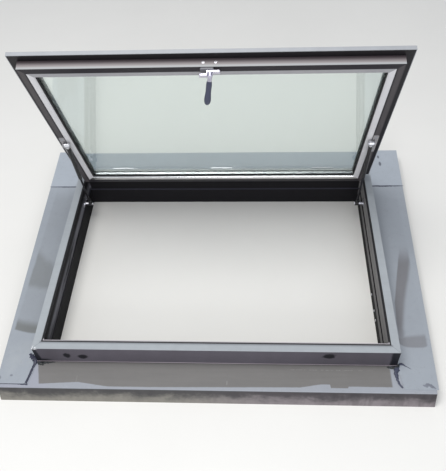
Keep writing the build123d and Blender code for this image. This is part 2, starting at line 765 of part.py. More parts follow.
SPACER_WALL = 1
with BuildPart() as spacer:
    with BuildSketch(Plane.XY.offset(TOP + GLASS_FACE + PANE)):
        with Locations((0, MIDDLE)):
            Rectangle(*ring_size(GLASS_EDGE + EDGE_SEAL))
            Rectangle(*ring_size(GLASS_EDGE + EDGE_SEAL + SPACER_WIDTH), mode=Mode.SUBTRACT)
    extrude(amount=CAVITY)
    with BuildSketch(Plane.XY.offset(TOP + GLASS_FACE + PANE + SPACER_WALL)):
        with Locations((0, MIDDLE)):
            Rectangle(*ring_size(GLASS_EDGE + EDGE_SEAL + SPACER_WALL))
            Rectangle(
                *ring_size(GLASS_EDGE + EDGE_SEAL + SPACER_WIDTH - SPACER_WALL), mode=Mode.SUBTRACT
            )
    extrude(amount=CAVITY - 2 * SPACER_WALL, mode=Mode.SUBTRACT)
spacer_open = spacer.part.rotate(HINGE, -OPEN_ANGLE)
spacer_open.label = "spacer"
export_step(spacer_open, "parts/spacer.step")

with BuildPart() as edge_seal:
    with BuildSketch(Plane.XY.offset(TOP + GLASS_FACE + PANE)):
        with Locations((0, MIDDLE)):
            Rectangle(*ring_size(GLASS_EDGE))
            Rectangle(*ring_size(GLASS_EDGE + EDGE_SEAL), mode=Mode.SUBTRACT)
    extrude(amount=CAVITY)
edge_seal_open = edge_seal.part.rotate(HINGE, -OPEN_ANGLE)
edge_seal_open.label = "edge_seal"
export_step(edge_seal_open, "parts/edge_seal.step")

# Setting blocks keep the glass square in the rails.
BLOCK_PLACE = 0.3
BLOCK_MARGIN = 1
with BuildPart() as setting_blocks:
    with BuildSketch(Plane.XY.offset(TOP + GLASS_FACE + BLOCK_MARGIN)):
        for block_y in (FRONT + RAIL_INNER + GLASS_INSET / 2, HEAD - RAIL_INNER - GLASS_INSET / 2):
            with Locations((-BLOCK_PLACE * FRAME_WIDTH, block_y), (BLOCK_PLACE * FRAME_WIDTH, block_y)):
                Rectangle(BLOCK_LENGTH, GLASS_INSET)
    extrude(amount=GLASS_TOP - GLASS_FACE - 2 * BLOCK_MARGIN)
setting_blocks_open = setting_blocks.part.rotate(HINGE, -OPEN_ANGLE)
setting_blocks_open.label = "setting_blocks"
export_step(setting_blocks_open, "parts/setting_blocks.step")

# Angle cleats inside the rails' corners.
LID_CLEAT_LEG = 60
LID_CLEAT_GAP = 0.5
cleat_inset = LID_WALL + WALL + LID_CLEAT_GAP
lid_cleat_width = BOX_WIDTH - 2 * WALL - 2 * LID_CLEAT_GAP
lid_cleat_height = BOX_DEPTH + BOX_RISE - 2 * WALL - 2 * LID_CLEAT_GAP
with BuildPart() as lid_cleats:
    for side_x in (-1, 1):
        for end_y, along in ((FRONT, 1), (HEAD, -1)):
            corner_x = side_x * (SIDE - cleat_inset)
            corner_y = end_y + along * cleat_inset
            with BuildSketch(Plane.XY.offset(TOP + box_low + WALL + LID_CLEAT_GAP)):
                with BuildLine():
                    Polyline(
                        (corner_x, corner_y),
                        (corner_x - side_x * LID_CLEAT_LEG, corner_y),
                        (corner_x - side_x * LID_CLEAT_LEG, corner_y + along * lid_cleat_width),
                        (corner_x - side_x * lid_cleat_width, corner_y + along * lid_cleat_width),
                        (corner_x - side_x * lid_cleat_width, corner_y + along * LID_CLEAT_LEG),
                        (corner_x, corner_y + along * LID_CLEAT_LEG),
                        close=True,
                    )
                make_face()
            extrude(amount=lid_cleat_height)
lid_cleats_open = lid_cleats.part.rotate(HINGE, -OPEN_ANGLE)
lid_cleats_open.label = "lid_cleats"
export_step(lid_cleats_open, "parts/lid_cleats.step")

# Two screws in the outer wall of the free rail, nearly flush with it.
EDGE_SCREW_XS = (-14, 24)
EDGE_SCREW_DROP = 13
EDGE_SCREW_PROUD = 0.6
with BuildPart() as edge_screws:
    for screw_x in EDGE_SCREW_XS:
        with BuildSketch(Plane.XZ.offset(-FRONT - LID_WALL)):
            with Locations((screw_x, TOP - EDGE_SCREW_DROP)):
                Circle(SCREW_HEAD_RADIUS)
        extrude(amount=EDGE_SCREW_PROUD)
edge_screws_open = edge_screws.part.rotate(HINGE, -OPEN_ANGLE)
edge_screws_open.label = "edge_screws"
export_step(edge_screws_open, "parts/edge_screws.step")

# Hinges: a leaf on the head of the frame carries the outer knuckles and the pin, and
# a leaf on the lid's head cover carries the middle knuckle.
FRAME_LEAF_DEPTH = 20
LID_LEAF_DEPTH = 46
LEAF_SCREW_RADIUS = 4
LEAF_SCREW_PROUD = 0.6
outer_knuckle = HINGE_LENGTH / 4
middle_knuckle = HINGE_LENGTH - 2 * outer_knuckle - 2 * KNUCKLE_GAP
bore_radius = PIN_RADIUS + PIN_CLEARANCE
with BuildPart() as hinge_frame_leaves:
    for hinge_x in (-HINGE_SPACING, 0, HINGE_SPACING):
        with BuildSketch(Plane.YZ.offset(hinge_x - HINGE_LENGTH / 2)):
            with BuildLine():
                Polyline(
                    (HINGE_Y + KNUCKLE_RADIUS - HINGE_LEAF, TOP),
                    (HINGE_Y + KNUCKLE_RADIUS + FRAME_LEAF_DEPTH, TOP),
                    (HINGE_Y + KNUCKLE_RADIUS + FRAME_LEAF_DEPTH, TOP + HINGE_LEAF),
                    (HINGE_Y + KNUCKLE_RADIUS, TOP + HINGE_LEAF),
                    (HINGE_Y + KNUCKLE_RADIUS, TOP + HINGE_RISE - KNUCKLE_RADIUS),
                    (HINGE_Y + KNUCKLE_RADIUS - HINGE_LEAF, TOP + HINGE_RISE - KNUCKLE_RADIUS),
                    close=True,
                )
            make_face()
        extrude(amount=HINGE_LENGTH)
        for knuckle_x in (hinge_x - HINGE_LENGTH / 2, hinge_x + HINGE_LENGTH / 2 - outer_knuckle):
            with BuildSketch(Plane.YZ.offset(knuckle_x)):
                with Locations((HINGE_Y, HINGE_Z)):
                    Circle(KNUCKLE_RADIUS)
                with Locations((HINGE_Y + KNUCKLE_RADIUS - HINGE_LEAF / 2, HINGE_Z - KNUCKLE_RADIUS / 2)):
                    Rectangle(HINGE_LEAF, KNUCKLE_RADIUS)
                with Locations((HINGE_Y, HINGE_Z)):
                    Circle(bore_radius, mode=Mode.SUBTRACT)
            extrude(amount=outer_knuckle)
hinge_frame_leaves.part.label = "hinge_frame_leaves"
export_step(hinge_frame_leaves.part, "parts/hinge_frame_leaves.step")

with BuildPart() as hinge_pins:
    with BuildSketch(Plane.YZ):
        with Locations((HINGE_Y, HINGE_Z)):
            Circle(PIN_RADIUS)
    extrude(amount=HINGE_LENGTH / 2 + 1, both=True)
    with BuildSketch(Plane.YZ.offset(HINGE_SPACING)):
        with Locations((HINGE_Y, HINGE_Z)):
            Circle(PIN_RADIUS)
    extrude(amount=HINGE_LENGTH / 2 + 1, both=True)
    with BuildSketch(Plane.YZ.offset(-HINGE_SPACING)):
        with Locations((HINGE_Y, HINGE_Z)):
            Circle(PIN_RADIUS)
    extrude(amount=HINGE_LENGTH / 2 + 1, both=True)
hinge_pins.part.label = "hinge_pins"
export_step(hinge_pins.part, "parts/hinge_pins.step")

LEAF_SCREW_X = 32
with BuildPart() as frame_leaf_screws:
    for hinge_x in (-HINGE_SPACING, 0, HINGE_SPACING):
        with BuildSketch(Plane.XY.offset(TOP + HINGE_LEAF)):
            with Locations(
                (hinge_x - LEAF_SCREW_X, HINGE_Y + KNUCKLE_RADIUS + FRAME_LEAF_DEPTH / 2),
                (hinge_x + LEAF_SCREW_X, HINGE_Y + KNUCKLE_RADIUS + FRAME_LEAF_DEPTH / 2),
            ):
                Circle(LEAF_SCREW_RADIUS)
        extrude(amount=LEAF_SCREW_PROUD)
frame_leaf_screws.part.label = "frame_leaf_screws"
export_step(frame_leaf_screws.part, "parts/frame_leaf_screws.step")

leaf_bottom = TOP + cover_top
with BuildPart() as hinge_lid_leaves:
    for hinge_x in (-HINGE_SPACING, 0, HINGE_SPACING):
        with BuildSketch(Plane.XY.offset(leaf_bottom)):
            with Locations((hinge_x, wall_y - LID_LEAF_DEPTH / 2)):
                Rectangle(HINGE_LENGTH - 2, LID_LEAF_DEPTH)
            with Locations((hinge_x, (wall_y + HINGE_Y) / 2)):
                Rectangle(middle_knuckle, HINGE_Y - wall_y)
        extrude(amount=HINGE_LEAF)
        with BuildSketch(Plane.YZ.offset(hinge_x - middle_knuckle / 2)):
            with Locations((HINGE_Y, HINGE_Z)):
                Circle(KNUCKLE_RADIUS)
        extrude(amount=middle_knuckle)
        with BuildSketch(Plane.YZ.offset(hinge_x - middle_knuckle / 2)):
            with Locations((HINGE_Y, HINGE_Z)):
                Circle(bore_radius)
        extrude(amount=middle_knuckle, mode=Mode.SUBTRACT)
lid_leaves_open = hinge_lid_leaves.part.rotate(HINGE, -OPEN_ANGLE)
lid_leaves_open.label = "hinge_lid_leaves"
export_step(lid_leaves_open, "parts/hinge_lid_leaves.step")

with BuildPart() as lid_leaf_screws:
    for hinge_x in (-HINGE_SPACING, 0, HINGE_SPACING):
        with BuildSketch(Plane.XY.offset(leaf_bottom + HINGE_LEAF)):
            with Locations((hinge_x, wall_y - LID_LEAF_DEPTH / 2)):
                with GridLocations(2 * LEAF_SCREW_X, LID_LEAF_DEPTH / 2, 2, 2):
                    Circle(LEAF_SCREW_RADIUS)
        extrude(amount=LEAF_SCREW_PROUD)
lid_leaf_screws_open = lid_leaf_screws.part.rotate(HINGE, -OPEN_ANGLE)
lid_leaf_screws_open.label = "lid_leaf_screws"
export_step(lid_leaf_screws_open, "parts/lid_leaf_screws.step")

# Gas springs: the rod's eye turns on a stud on the frame, and the tube's eye hangs on
# a stud at the lid. They are drawn lying closed and turned up to the open lid.
stud_z = TOP - STUD_DROP
frame_stud_y = HINGE_Y - FRAME_STUD_REACH
lid_stud_y = HINGE_Y - LID_STUD_REACH
lid_reach = LID_STUD_REACH
lid_drop = HINGE_Z - stud_z
open_cos = cos(radians(OPEN_ANGLE))
open_sin = sin(radians(OPEN_ANGLE))
open_y = HINGE_Y - lid_reach * open_cos - lid_drop * open_sin
open_z = HINGE_Z + lid_reach * open_sin - lid_drop * open_cos
closed_length = frame_stud_y - lid_stud_y
spring_rise = Vector(0, open_y - frame_stud_y, open_z - stud_z)
open_length = spring_rise.length
spring_swing = Vector(0, -1, 0).get_angle(spring_rise)
spring_stroke = open_length - closed_length
FRAME_PIVOT = Axis((0, frame_stud_y, stud_z), (1, 0, 0))

PLATE_LENGTH = 36
PLATE_HEIGHT = 20
PLATE_THICKNESS = 3.5
COLLAR_RADIUS = 6.5
WASHER = 3.5
EYE_GAP = 0.3
ROD_NECK = 28
NECK_RADIUS = 6
BRACKET_LENGTH = 120
BRACKET_BACK = 30
BRACKET_WIDTH = 20
BRACKET_THICKNESS = 3
EAR_THICKNESS = 3
EAR_LENGTH = 24
EAR_X = SIDE - LID_WALL - BOX_WIDTH / 2 - EAR_THICKNESS
for side_name, side_x in (("left", -1), ("right", 1)):
    eye_outer = side_x * (SPRING_X + EYE_WIDTH / 2)
    eye_inner = side_x * (SPRING_X - EYE_WIDTH / 2)

    with BuildPart() as frame_stud:
        with BuildSketch(Plane.YZ.offset(side_x * (SIDE - SEAT))):
            with Locations((frame_stud_y, stud_z + 2)):
                RectangleRounded(PLATE_LENGTH, PLATE_HEIGHT - 4, 3)
        extrude(amount=-side_x * PLATE_THICKNESS)
        with BuildSketch(Plane.YZ.offset(side_x * (SIDE - SEAT - PLATE_THICKNESS))):
            with Locations((frame_stud_y, stud_z)):
                Circle(COLLAR_RADIUS)
        extrude(amount=-side_x * (SIDE - SEAT - PLATE_THICKNESS - SPRING_X - EYE_WIDTH / 2 - EYE_GAP))
        with BuildSketch(Plane.YZ.offset(eye_outer + side_x * EYE_GAP)):
            with Locations((frame_stud_y, stud_z)):
                Circle(STUD_RADIUS)
        extrude(amount=-side_x * (EYE_WIDTH + 2 * EYE_GAP))
        with BuildSketch(Plane.YZ.offset(eye_inner - side_x * EYE_GAP)):
            with Locations((frame_stud_y, stud_z)):
                Circle(COLLAR_RADIUS)
        extrude(amount=-side_x * WASHER)
        fillet(frame_stud.faces().sort_by(Axis.X)[0 if side_x > 0 else -1].edges(), radius=1.5)
    frame_stud.part.label = side_name + "_frame_stud"
    export_step(frame_stud.part, "parts/" + side_name + "_frame_stud.step")

    with BuildPart() as rod_eye:
        with BuildSketch(Plane.YZ.offset(eye_inner)):
            with Locations((frame_stud_y, stud_z)):
                Circle(EYE_RADIUS)
        extrude(amount=side_x * EYE_WIDTH)
        with BuildSketch(Plane.XZ.offset(-frame_stud_y)):
            with Locations((side_x * SPRING_X, stud_z)):
                Circle(NECK_RADIUS)
        extrude(amount=ROD_NECK)
        with BuildSketch(Plane.YZ.offset(eye_inner)):
            with Locations((frame_stud_y, stud_z)):
                Circle(STUD_RADIUS + STUD_CLEARANCE)
        extrude(amount=side_x * EYE_WIDTH, mode=Mode.SUBTRACT)
        with BuildSketch(Plane.XZ.offset(-frame_stud_y + ROD_NECK / 2)):
            with Locations((side_x * SPRING_X, stud_z)):
                Circle(ROD_RADIUS)
        extrude(amount=ROD_NECK / 2, mode=Mode.SUBTRACT)
    rod_eye_open = rod_eye.part.rotate(FRAME_PIVOT, -spring_swing)
    rod_eye_open.label = side_name + "_rod_eye"
    export_step(rod_eye_open, "parts/" + side_name + "_rod_eye.step")

    with BuildPart() as rod:
        with BuildSketch(Plane.XZ.offset(-frame_stud_y + ROD_NECK / 2)):
            with Locations((side_x * SPRING_X, stud_z)):
                Circle(ROD_RADIUS)
        extrude(amount=ROD_LENGTH - ROD_NECK / 2)
        with BuildSketch(Plane.XZ.offset(-frame_stud_y + ROD_LENGTH - PISTON_LENGTH)):
            with Locations((side_x * SPRING_X, stud_z)):
                Circle(TUBE_RADIUS - TUBE_WALL - PISTON_GAP)
        extrude(amount=PISTON_LENGTH)
    rod_open = rod.part.rotate(FRAME_PIVOT, -spring_swing)
    rod_open.label = side_name + "_rod"
    export_step(rod_open, "parts/" + side_name + "_rod.step")

    # The tube is drawn round the open length, then turned with the rod.
    tube_eye_y = frame_stud_y - open_length
    with BuildPart() as tube:
        with BuildSketch(Plane.XZ.offset(-tube_eye_y - TUBE_REACH)):
            with Locations((side_x * SPRING_X, stud_z)):
                Circle(TUBE_RADIUS)
        extrude(amount=TUBE_REACH - TUBE_END)
        chamfer(tube.edges().filter_by(GeomType.CIRCLE), length=1)
        with BuildSketch(Plane.XZ.offset(-tube_eye_y - TUBE_REACH + GLAND)):
            with Locations((side_x * SPRING_X, stud_z)):
                Circle(TUBE_RADIUS - TUBE_WALL)
        extrude(amount=TUBE_REACH - TUBE_END - GLAND - 4, mode=Mode.SUBTRACT)
        with BuildSketch(Plane.XZ.offset(-tube_eye_y - TUBE_REACH)):
            with Locations((side_x * SPRING_X, stud_z)):
                Circle(ROD_RADIUS + STUD_CLEARANCE)
        extrude(amount=GLAND, mode=Mode.SUBTRACT)
    tube_open = tube.part.rotate(FRAME_PIVOT, -spring_swing)
    tube_open.label = side_name + "_tube"
    export_step(tube_open, "parts/" + side_name + "_tube.step")

    with BuildPart() as tube_eye:
        with BuildSketch(Plane.YZ.offset(eye_inner)):
            with Locations((tube_eye_y, stud_z)):
                Circle(EYE_RADIUS)
        extrude(amount=side_x * EYE_WIDTH)
        with BuildSketch(Plane.XZ.offset(-tube_eye_y - TUBE_END)):
            with Locations((side_x * SPRING_X, stud_z)):
                Circle(NECK_RADIUS)
        extrude(amount=TUBE_END)
        with BuildSketch(Plane.YZ.offset(eye_inner)):
            with Locations((tube_eye_y, stud_z)):
                Circle(STUD_RADIUS + STUD_CLEARANCE)
        extrude(amount=side_x * EYE_WIDTH, mode=Mode.SUBTRACT)
    tube_eye_open = tube_eye.part.rotate(FRAME_PIVOT, -spring_swing)
    tube_eye_open.label = side_name + "_tube_eye"
    export_step(tube_eye_open, "parts/" + side_name + "_tube_eye.step")

    with BuildPart() as lid_stud:
        with BuildSketch(Plane.YZ.offset(side_x * (EAR_X - EYE_GAP))):
            with Locations((tube_eye_y, stud_z)):
                Circle(COLLAR_RADIUS)
        extrude(amount=-side_x * (EAR_X - 2 * EYE_GAP - SPRING_X - EYE_WIDTH / 2))
        with BuildSketch(Plane.YZ.offset(eye_outer + side_x * EYE_GAP)):
            with Locations((tube_eye_y, stud_z)):
                Circle(STUD_RADIUS)
        extrude(amount=-side_x * (EYE_WIDTH + 2 * EYE_GAP))
        with BuildSketch(Plane.YZ.offset(eye_inner - side_x * EYE_GAP)):
            with Locations((tube_eye_y, stud_z)):
                Circle(COLLAR_RADIUS)
        extrude(amount=-side_x * WASHER)
        fillet(lid_stud.faces().sort_by(Axis.X)[0 if side_x > 0 else -1].edges(), radius=1.5)
    lid_stud_open = lid_stud.part.rotate(FRAME_PIVOT, -spring_swing)
    lid_stud_open.label = side_name + "_lid_stud"
    export_step(lid_stud_open, "parts/" + side_name + "_lid_stud.step")

    with BuildPart() as lid_bracket:
        with BuildSketch(Plane.XY.offset(TOP + box_low - BRACKET_THICKNESS)):
            with Locations(
                (
                    side_x * (SIDE - LID_WALL - BOX_WIDTH / 2),
                    lid_stud_y - BRACKET_BACK + BRACKET_LENGTH / 2,
                )
            ):
                RectangleRounded(BRACKET_WIDTH, BRACKET_LENGTH, 4)
        extrude(amount=BRACKET_THICKNESS)
        with BuildSketch(Plane.YZ.offset(side_x * EAR_X)):
            with Locations((lid_stud_y, stud_z)):
                Circle(EYE_RADIUS)
            with Locations((lid_stud_y, (stud_z + TOP + box_low) / 2)):
                Rectangle(2 * EYE_RADIUS, TOP + box_low - stud_z)
        extrude(amount=side_x * EAR_THICKNESS)
    bracket_open = lid_bracket.part.rotate(HINGE, -OPEN_ANGLE)
    bracket_open.label = side_name + "_lid_bracket"
    export_step(bracket_open, "parts/" + side_name + "_lid_bracket.step")

BRACKET_SCREW_PLACES = (-20, 25, 55, 80)
BRACKET_SCREW_HEIGHT = 1.2
with BuildPart() as bracket_screws:
    for side_x in (-1, 1):
        for along in BRACKET_SCREW_PLACES:
            with BuildSketch(Plane.XY.offset(TOP + box_low - BRACKET_THICKNESS)):
                with Locations((side_x * (SIDE - LID_WALL - BOX_WIDTH / 2), lid_stud_y + along)):
                    Circle(LEAF_SCREW_RADIUS)
            extrude(amount=-BRACKET_SCREW_HEIGHT)
bracket_screws_open = bracket_screws.part.rotate(HINGE, -OPEN_ANGLE)
bracket_screws_open.label = "bracket_screws"
export_step(bracket_screws_open, "parts/bracket_screws.step")

# Handle: a base on the free rail, a spindle, a cranked cam and a lever.
with BuildPart() as handle_base:
    with BuildSketch(Plane.XY.offset(TOP + box_low - HANDLE_BASE_HEIGHT)):
        with Locations((HANDLE_BASE_X, SPINDLE_Y)):
            RectangleRounded(HANDLE_BASE_LENGTH, HANDLE_BASE_WIDTH, 4)
    extrude(amount=HANDLE_BASE_HEIGHT)
    fillet(handle_base.faces().sort_by(Axis.Z)[0].outer_wire().edges(), radius=1.5)
    with BuildSketch(Plane.XY.offset(TOP + box_low - HANDLE_BASE_HEIGHT)):
        with Locations((SPINDLE_X, SPINDLE_Y)):
            Circle(SPINDLE_RADIUS + STUD_CLEARANCE)
    extrude(amount=HANDLE_BASE_HEIGHT, mode=Mode.SUBTRACT)
handle_base_open = handle_base.part.rotate(HINGE, -OPEN_ANGLE)
handle_base_open.label = "handle_base"
export_step(handle_base_open, "parts/handle_base.step")

LEVER_DROP = CAM_FACE + CAM_THICKNESS + 0.5
HUB_HEIGHT = 13
with BuildPart() as spindle:
    with BuildSketch(Plane.XY.offset(TOP - LEVER_DROP - 3)):
        with Locations((SPINDLE_X, SPINDLE_Y)):
            Circle(SPINDLE_RADIUS)
    extrude(amount=LEVER_DROP + 3 - BOX_DEPTH + 6)
spindle_open = spindle.part.rotate(HINGE, -OPEN_ANGLE)
spindle_open.label = "handle_spindle"
export_step(spindle_open, "parts/handle_spindle.step")

with BuildPart() as cam:
    with BuildSketch(Plane.XZ.offset(-SPINDLE_Y - CAM_WIDTH / 2)):
        with BuildLine():
            Polyline(
                (SPINDLE_X + CAM_SHORT_REACH, TOP - CAM_FACE),
                (SPINDLE_X + CAM_SHORT_REACH, TOP - CAM_FACE - CAM_THICKNESS),
                (SPINDLE_X - HUB_RADIUS - CAM_GAP, TOP - CAM_FACE - CAM_THICKNESS),
                (SPINDLE_X - HUB_RADIUS - CAM_GAP, TOP - CAM_FACE - TONGUE_DROP - CAM_THICKNESS),
                (SPINDLE_X - CAM_REACH, TOP - CAM_FACE - TONGUE_DROP - CAM_THICKNESS),
                (SPINDLE_X - CAM_REACH, TOP - CAM_FACE - TONGUE_DROP),
                (SPINDLE_X - HUB_RADIUS - CAM_GAP - CAM_CRANK, TOP - CAM_FACE - TONGUE_DROP),
                (SPINDLE_X - HUB_RADIUS - CAM_GAP - CAM_CRANK, TOP - CAM_FACE),
                close=True,
            )
        make_face()
    extrude(amount=CAM_WIDTH)
    fillet(cam.edges().filter_by(Axis.Z).group_by(Axis.X)[0], radius=3)
    fillet(cam.edges().filter_by(Axis.Z).group_by(Axis.X)[-1], radius=3)
    with BuildSketch(Plane.XY.offset(TOP - CAM_FACE - CAM_THICKNESS)):
        with Locations((SPINDLE_X, SPINDLE_Y)):
            Circle(SPINDLE_RADIUS)
    extrude(amount=CAM_THICKNESS, mode=Mode.SUBTRACT)
cam_open = cam.part.rotate(HINGE, -OPEN_ANGLE)
cam_open.label = "handle_cam"
export_step(cam_open, "parts/handle_cam.step")

# The lever leans to one side and away from the lid, and its grip swells and tapers.
GRIP_START = 26
LEVER_RAKE = 7
lever_dir = Vector(
    -sin(radians(LEVER_LEAN)), cos(radians(LEVER_LEAN)), -tan(radians(LEVER_RAKE))
).normalized()
lever_side = Vector(cos(radians(LEVER_LEAN)), sin(radians(LEVER_LEAN)), 0)
lever_root = Vector(SPINDLE_X, SPINDLE_Y, TOP - LEVER_DROP - HUB_HEIGHT / 2)
with BuildPart() as lever:
    with BuildSketch(Plane.XY.offset(TOP - LEVER_DROP - HUB_HEIGHT)):
        with Locations((SPINDLE_X, SPINDLE_Y)):
            Circle(HUB_RADIUS)
    extrude(amount=HUB_HEIGHT)
    fillet(lever.faces().sort_by(Axis.Z)[0].edges(), radius=2)
    with BuildSketch(Plane(origin=lever_root, x_dir=lever_side, z_dir=lever_dir)):
        RectangleRounded(13, 9, 2)
    extrude(amount=GRIP_START)
    with BuildSketch(Plane.XY.offset(TOP - LEVER_DROP - 3)):
        with Locations((SPINDLE_X, SPINDLE_Y)):
            Circle(SPINDLE_RADIUS)
    extrude(amount=3, mode=Mode.SUBTRACT)
lever_open = lever.part.rotate(HINGE, -OPEN_ANGLE)
lever_open.label = "handle_lever"
export_step(lever_open, "parts/handle_lever.step")

GRIP_SECTIONS = (
    (GRIP_START, 13, 10),
    (GRIP_START + 25, 18, 13),
    (LEVER_LENGTH * 0.6, 18, 13),
    (LEVER_LENGTH - 4, 13, 10),
    (LEVER_LENGTH, 8, 6),
)
with BuildPart() as grip:
    for grip_along, grip_width, grip_depth in GRIP_SECTIONS:
        grip_plane = Plane(
            origin=lever_root + lever_dir * grip_along, x_dir=lever_side, z_dir=lever_dir
        )
        with BuildSketch(grip_plane):
            RectangleRounded(grip_width, grip_depth, grip_depth * 0.38)
    loft(ruled=False)
grip_open = grip.part.rotate(HINGE, -OPEN_ANGLE)
grip_open.label = "handle_grip"
export_step(grip_open, "parts/handle_grip.step")
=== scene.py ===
# %% [markdown]
# # A top-hung roof skylight on its flashing
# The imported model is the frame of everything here: its solids stay where they are, and this
# script gives them their surfaces, adds the small forms that a workshop and the weather
# leave behind, and sets up a plain studio round them. All lengths are metres.

# %%
# Load the solids
import math
import bmesh
import bpy
from mathutils import Matrix, Vector, noise


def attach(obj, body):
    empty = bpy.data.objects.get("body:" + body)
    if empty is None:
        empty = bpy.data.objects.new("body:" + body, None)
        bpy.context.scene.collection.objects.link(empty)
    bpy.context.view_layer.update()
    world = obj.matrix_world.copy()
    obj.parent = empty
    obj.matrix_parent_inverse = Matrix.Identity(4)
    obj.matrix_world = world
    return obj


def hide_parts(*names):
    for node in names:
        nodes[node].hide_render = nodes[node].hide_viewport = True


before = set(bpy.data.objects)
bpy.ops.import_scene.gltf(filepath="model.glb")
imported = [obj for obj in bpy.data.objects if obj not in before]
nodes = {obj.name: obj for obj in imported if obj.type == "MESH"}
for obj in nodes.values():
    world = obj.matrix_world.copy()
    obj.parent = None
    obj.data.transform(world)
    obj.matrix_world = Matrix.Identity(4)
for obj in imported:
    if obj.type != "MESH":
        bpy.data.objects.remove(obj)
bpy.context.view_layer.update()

# %% [markdown]
# ## Sizes that the surfaces need
# Marks and shades are placed in the part's own axes, so a few of its sizes are named again:
# the top of the flange, the outer walls of the frame, the tops of the sheets, and the hinge
# line with the angle at which the lid stands.

# %%
# Named sizes
TOP = 0.150
FRONT, HEAD, SIDE = -0.4995, 0.3905, 0.630
MIDDLE = (FRONT + HEAD) / 2
FLANGE = 0.028
SKIRT_FOOT = 0.066
APRON_TOP, SIDE_TOP = 0.0615, 0.063
FOLD = FRONT - 0.099
HINGE = Vector((0, 0.3625, 0.164))
OPEN = math.radians(68.9)
LID_LIFT, BOX_DEPTH, LID_WALL = 0.002, 0.029, 0.038
print("lid stands open by", round(math.degrees(OPEN), 1), "degrees")

# %% [markdown]
# ## Shader maths written as arithmetic
# `Sock` wraps one output of a node. Adding, taking away, multiplying or dividing two of them
# makes the Math node that does it. One of the two may be a plain number.

# %%
# A value inside a material
class Sock:
    """One output of a node, which can be used in sums."""

    def __init__(self, shader, socket):
        self.shader, self.socket = shader, socket

    def math(self, operation, other=0.0, flip=False):
        pair = [other, self] if flip else [self, other]
        return self.shader.node("ShaderNodeMath", pair, operation=operation)

    def __add__(self, other):
        return self.math("ADD", other)

    def __sub__(self, other):
        return self.math("SUBTRACT", other)

    def __rsub__(self, other):
        return self.math("SUBTRACT", other, flip=True)

    def __mul__(self, other):
        return self.math("MULTIPLY", other)

    def __truediv__(self, other):
        return self.math("DIVIDE", other)

    def __abs__(self):
        return self.math("ABSOLUTE")

    def most(self, other):
        """The larger of the two."""
        return self.math("MAXIMUM", other)

    __radd__, __rmul__ = __add__, __mul__


# %% [markdown]
# ## A material and its patterns
# `Shader` is one material. Its `node` method makes any node and wires its inputs by name or
# number; the rest are the few patterns that this object needs. `step` rises smoothly between
# two values, `band` is 1 between two values, `spots` is 1 round some points, and `bent` is a
# line of straight runs.

